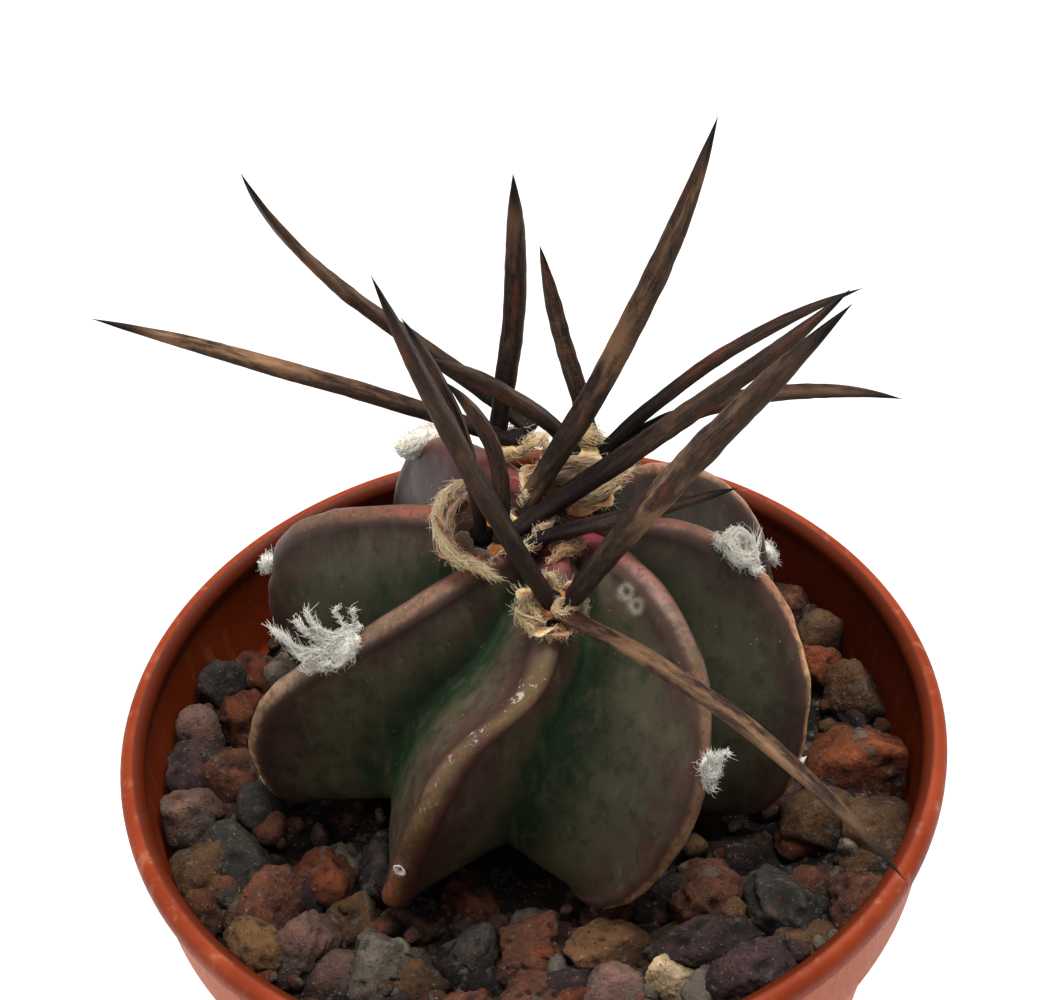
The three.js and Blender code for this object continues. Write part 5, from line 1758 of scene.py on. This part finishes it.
def add_camera():
    toward = Vector((0, -math.cos(CAMERA_ELEVATION), math.sin(CAMERA_ELEVATION)))
    level = Vector((1, 0, 0))
    above = level.cross(-toward)
    right = math.cos(CAMERA_ROLL) * level + math.sin(CAMERA_ROLL) * above
    up = math.cos(CAMERA_ROLL) * above - math.sin(CAMERA_ROLL) * level
    eye = (CAMERA_TARGET + toward * CAMERA_DISTANCE) * MM
    lens = bpy.data.cameras.new("photo_camera")
    lens.sensor_width = SENSOR_WIDTH
    lens.lens = SENSOR_WIDTH * FOCAL_PIXELS / PHOTO_WIDTH
    lens.clip_start = 0.01
    camera = add_to_scene("photo_camera", lens)
    camera.matrix_world = Matrix([(right[i], up[i], toward[i], eye[i]) for i in range(3)] + [(0, 0, 0, 1)])
    bpy.context.scene.camera = camera


def add_floor(settings):
    reach = settings.floor_reach
    corners = [(x * reach, y * reach, 0) for x, y in ((-1, -1), (1, -1), (1, 1), (-1, 1))]
    mesh = bpy.data.meshes.new("studio_floor")
    mesh.from_pydata(corners, [], [(0, 1, 2, 3)])
    paper = Finish("studio_floor", roughness=0.9, specular=0.1)
    paper.colour = paper.grey(paper.span(paper.noise(paper.spot, 3.0 * MM), 0.3, 0.7, 0.9, 0.94))
    mesh.materials.append(paper.done())
    floor = add_to_scene("studio_floor", mesh)


def add_studio(settings):
    add_camera()
    add_floor(settings)
    world = bpy.data.worlds.new("studio")
    world.use_nodes = True
    world.node_tree.nodes["Background"].inputs["Color"].default_value = (*settings.sky, 1.0)
    world.node_tree.nodes["Background"].inputs["Strength"].default_value = settings.sky_strength
    scene = bpy.context.scene
    scene.world = world
    scene.view_settings.view_transform = "Standard"
    add_light("softbox_above", 0.5, settings.key, (0.12, 0.15, 0.82), (1.0, 0.985, 0.96))
    add_light("softbox_left", 0.45, settings.fill, (-0.65, -0.05, 0.5), (1.0, 0.99, 0.97))


# What a user can change
def whole_property(name, description, default, **limits):
    return IntProperty(name=name, description=description, default=default, **limits)


def real_property(name, description, default, **limits):
    return FloatProperty(name=name, description=description, default=default, **limits)


def colour_property(name, description, colour):
    return FloatVectorProperty(name=name, description=description, subtype="COLOR", default=srgb(*colour)[:3])


class CactusPot(bpy.types.PropertyGroup):
    sides: whole_property("Sides", "How many sides the round pot has", 176, min=24)
    colour: colour_property("Plastic", "Colour of the fresh plastic", (132, 47, 16))
    faded: colour_property("Faded plastic", "Colour where it has faded", (150, 61, 28))


class CactusGrit(bpy.types.PropertyGroup):
    crumbs: whole_property("Crumbs", "How many crumbs lie between the stones", 300, min=0)
    seed: whole_property("Seed", "Another number scatters the crumbs another way", 8)


class CactusBody(bpy.types.PropertyGroup):
    rows: whole_property("Rows", "Rows of points from the crown to the foot", 150, min=20)
    flank_points: whole_property("Flank points", "Points on each flank of a rib", 12, min=3)
    edge_points: whole_property("Edge points", "Points round half a rib's edge", 6, min=2)
    puff: real_property("Puff", "How much the flanks swell, in millimetres", 0.35, min=0)
    purple: colour_property("Upper flank", "Skin below the edge", (82, 62, 52))
    olive: colour_property("Flank", "Skin in the middle of a flank", (84, 82, 62))
    green: colour_property("Furrow", "Skin in the furrows", (32, 58, 33))


class CactusSpines(bpy.types.PropertyGroup):
    steps: whole_property("Steps", "Rings of points along a spine", 90, min=8)
    sides: whole_property("Sides", "Points round a spine", 20, min=6)
    dark: colour_property("Dark", "Darkest horn", (19, 15, 15))
    brown: colour_property("Brown", "Lighter grain of the horn", (68, 49, 39))
    tan: colour_property("Tan", "Where the horn has worn", (172, 130, 96))


class CactusWool(bpy.types.PropertyGroup):
    thickness: real_property("Hair", "How thick a hair is, in millimetres", 0.06, min=0)
    young_length: real_property("Young hair", "How long it is, in millimetres", 1.1, min=0)
    old_length: real_property("Old hair", "How long it is, in millimetres", 1.0, min=0)
    sheen: real_property("Sheen", "How much the wool glows at its edges", 0.9, min=0)
    glow: real_property("Glow", "How much light the wool lets through", 0.4, min=0, max=1)
    cream: colour_property("Young wool", "Colour of the young wool", (243, 217, 160))
    rusty: colour_property("Brown wool", "Where the young wool is brown", (176, 104, 34))
    white: colour_property("Old wool", "Colour of the bleached wool", (255, 252, 238))


class CactusStudio(bpy.types.PropertyGroup):
    key: real_property("Key", "Power of the softbox above and behind", 8.2, unit="POWER")
    fill: real_property("Fill", "Power of the softbox on the left", 1.6, unit="POWER")
    sky_strength: real_property("Sky strength", "Light from all round", 0.34)
    floor_reach: real_property("Floor", "Half the floor's width", 4, unit="LENGTH")
    sky: colour_property("Sky", "Colour of the light from all round", (255, 255, 255))


class MakesPart:
    """What the operators share: each makes its own part by its settings on the scene."""

    def execute(self, context):
        self.make(getattr(context.scene, self.group))
        return {"FINISHED"}


class CACTUS_OT_pot(MakesPart, bpy.types.Operator):
    """Make the nursery pot"""

    bl_idname = "cactus.pot"
    bl_label = "Nursery pot"
    group = "cactus_pot"
    make = staticmethod(add_pot)


class CACTUS_OT_grit(MakesPart, bpy.types.Operator):
    """Make the lava grit that fills the pot"""

    bl_idname = "cactus.grit"
    bl_label = "Lava grit"
    group = "cactus_grit"
    make = staticmethod(add_grit)


class CACTUS_OT_body(MakesPart, bpy.types.Operator):
    """Make the ribbed body"""

    bl_idname = "cactus.body"
    bl_label = "Ribbed body"
    group = "cactus_body"
    make = staticmethod(add_body)


class CACTUS_OT_spines(MakesPart, bpy.types.Operator):
    """Make the horn-like spines"""

    bl_idname = "cactus.spines"
    bl_label = "Spines"
    group = "cactus_spines"
    make = staticmethod(add_spines)


class CACTUS_OT_wool(MakesPart, bpy.types.Operator):
    """Make the young and the old wool"""

    bl_idname = "cactus.wool"
    bl_label = "Wool"
    group = "cactus_wool"
    make = staticmethod(add_wool)


class CACTUS_OT_studio(MakesPart, bpy.types.Operator):
    """Make the camera, the pale floor and the soft studio light"""

    bl_idname = "cactus.studio"
    bl_label = "Studio"
    group = "cactus_studio"
    make = staticmethod(add_studio)


class CACTUS_PT_sidebar(bpy.types.Panel):
    """Lists what the cactus is made of"""

    bl_idname = "CACTUS_PT_sidebar"
    bl_label = "Potted goats horn cactus"
    bl_space_type = "VIEW_3D"
    bl_region_type = "UI"
    bl_category = "Cactus"

    def draw(self, context):
        for operator, group in PARTS:
            box = self.layout.box()
            box.operator(operator.bl_idname)
            for name in group.__annotations__:
                box.prop(getattr(context.scene, operator.group), name)


PARTS = [
    (CACTUS_OT_studio, CactusStudio),
    (CACTUS_OT_pot, CactusPot),
    (CACTUS_OT_grit, CactusGrit),
    (CACTUS_OT_body, CactusBody),
    (CACTUS_OT_spines, CactusSpines),
    (CACTUS_OT_wool, CactusWool),
]


def register():
    for operator, group in PARTS:
        bpy.utils.register_class(group)
        bpy.utils.register_class(operator)
        setattr(bpy.types.Scene, operator.group, PointerProperty(type=group))
    bpy.utils.register_class(CACTUS_PT_sidebar)


def unregister():
    bpy.utils.unregister_class(CACTUS_PT_sidebar)
    for operator, group in reversed(PARTS):
        delattr(bpy.types.Scene, operator.group)
        bpy.utils.unregister_class(operator)
        bpy.utils.unregister_class(group)


def main():
    register()
    bpy.ops.cactus.studio()
    bpy.ops.cactus.pot()
    bpy.ops.cactus.grit()
    bpy.ops.cactus.body()
    bpy.ops.cactus.spines()
    bpy.ops.cactus.wool()


if __name__ == "__main__":
    main()
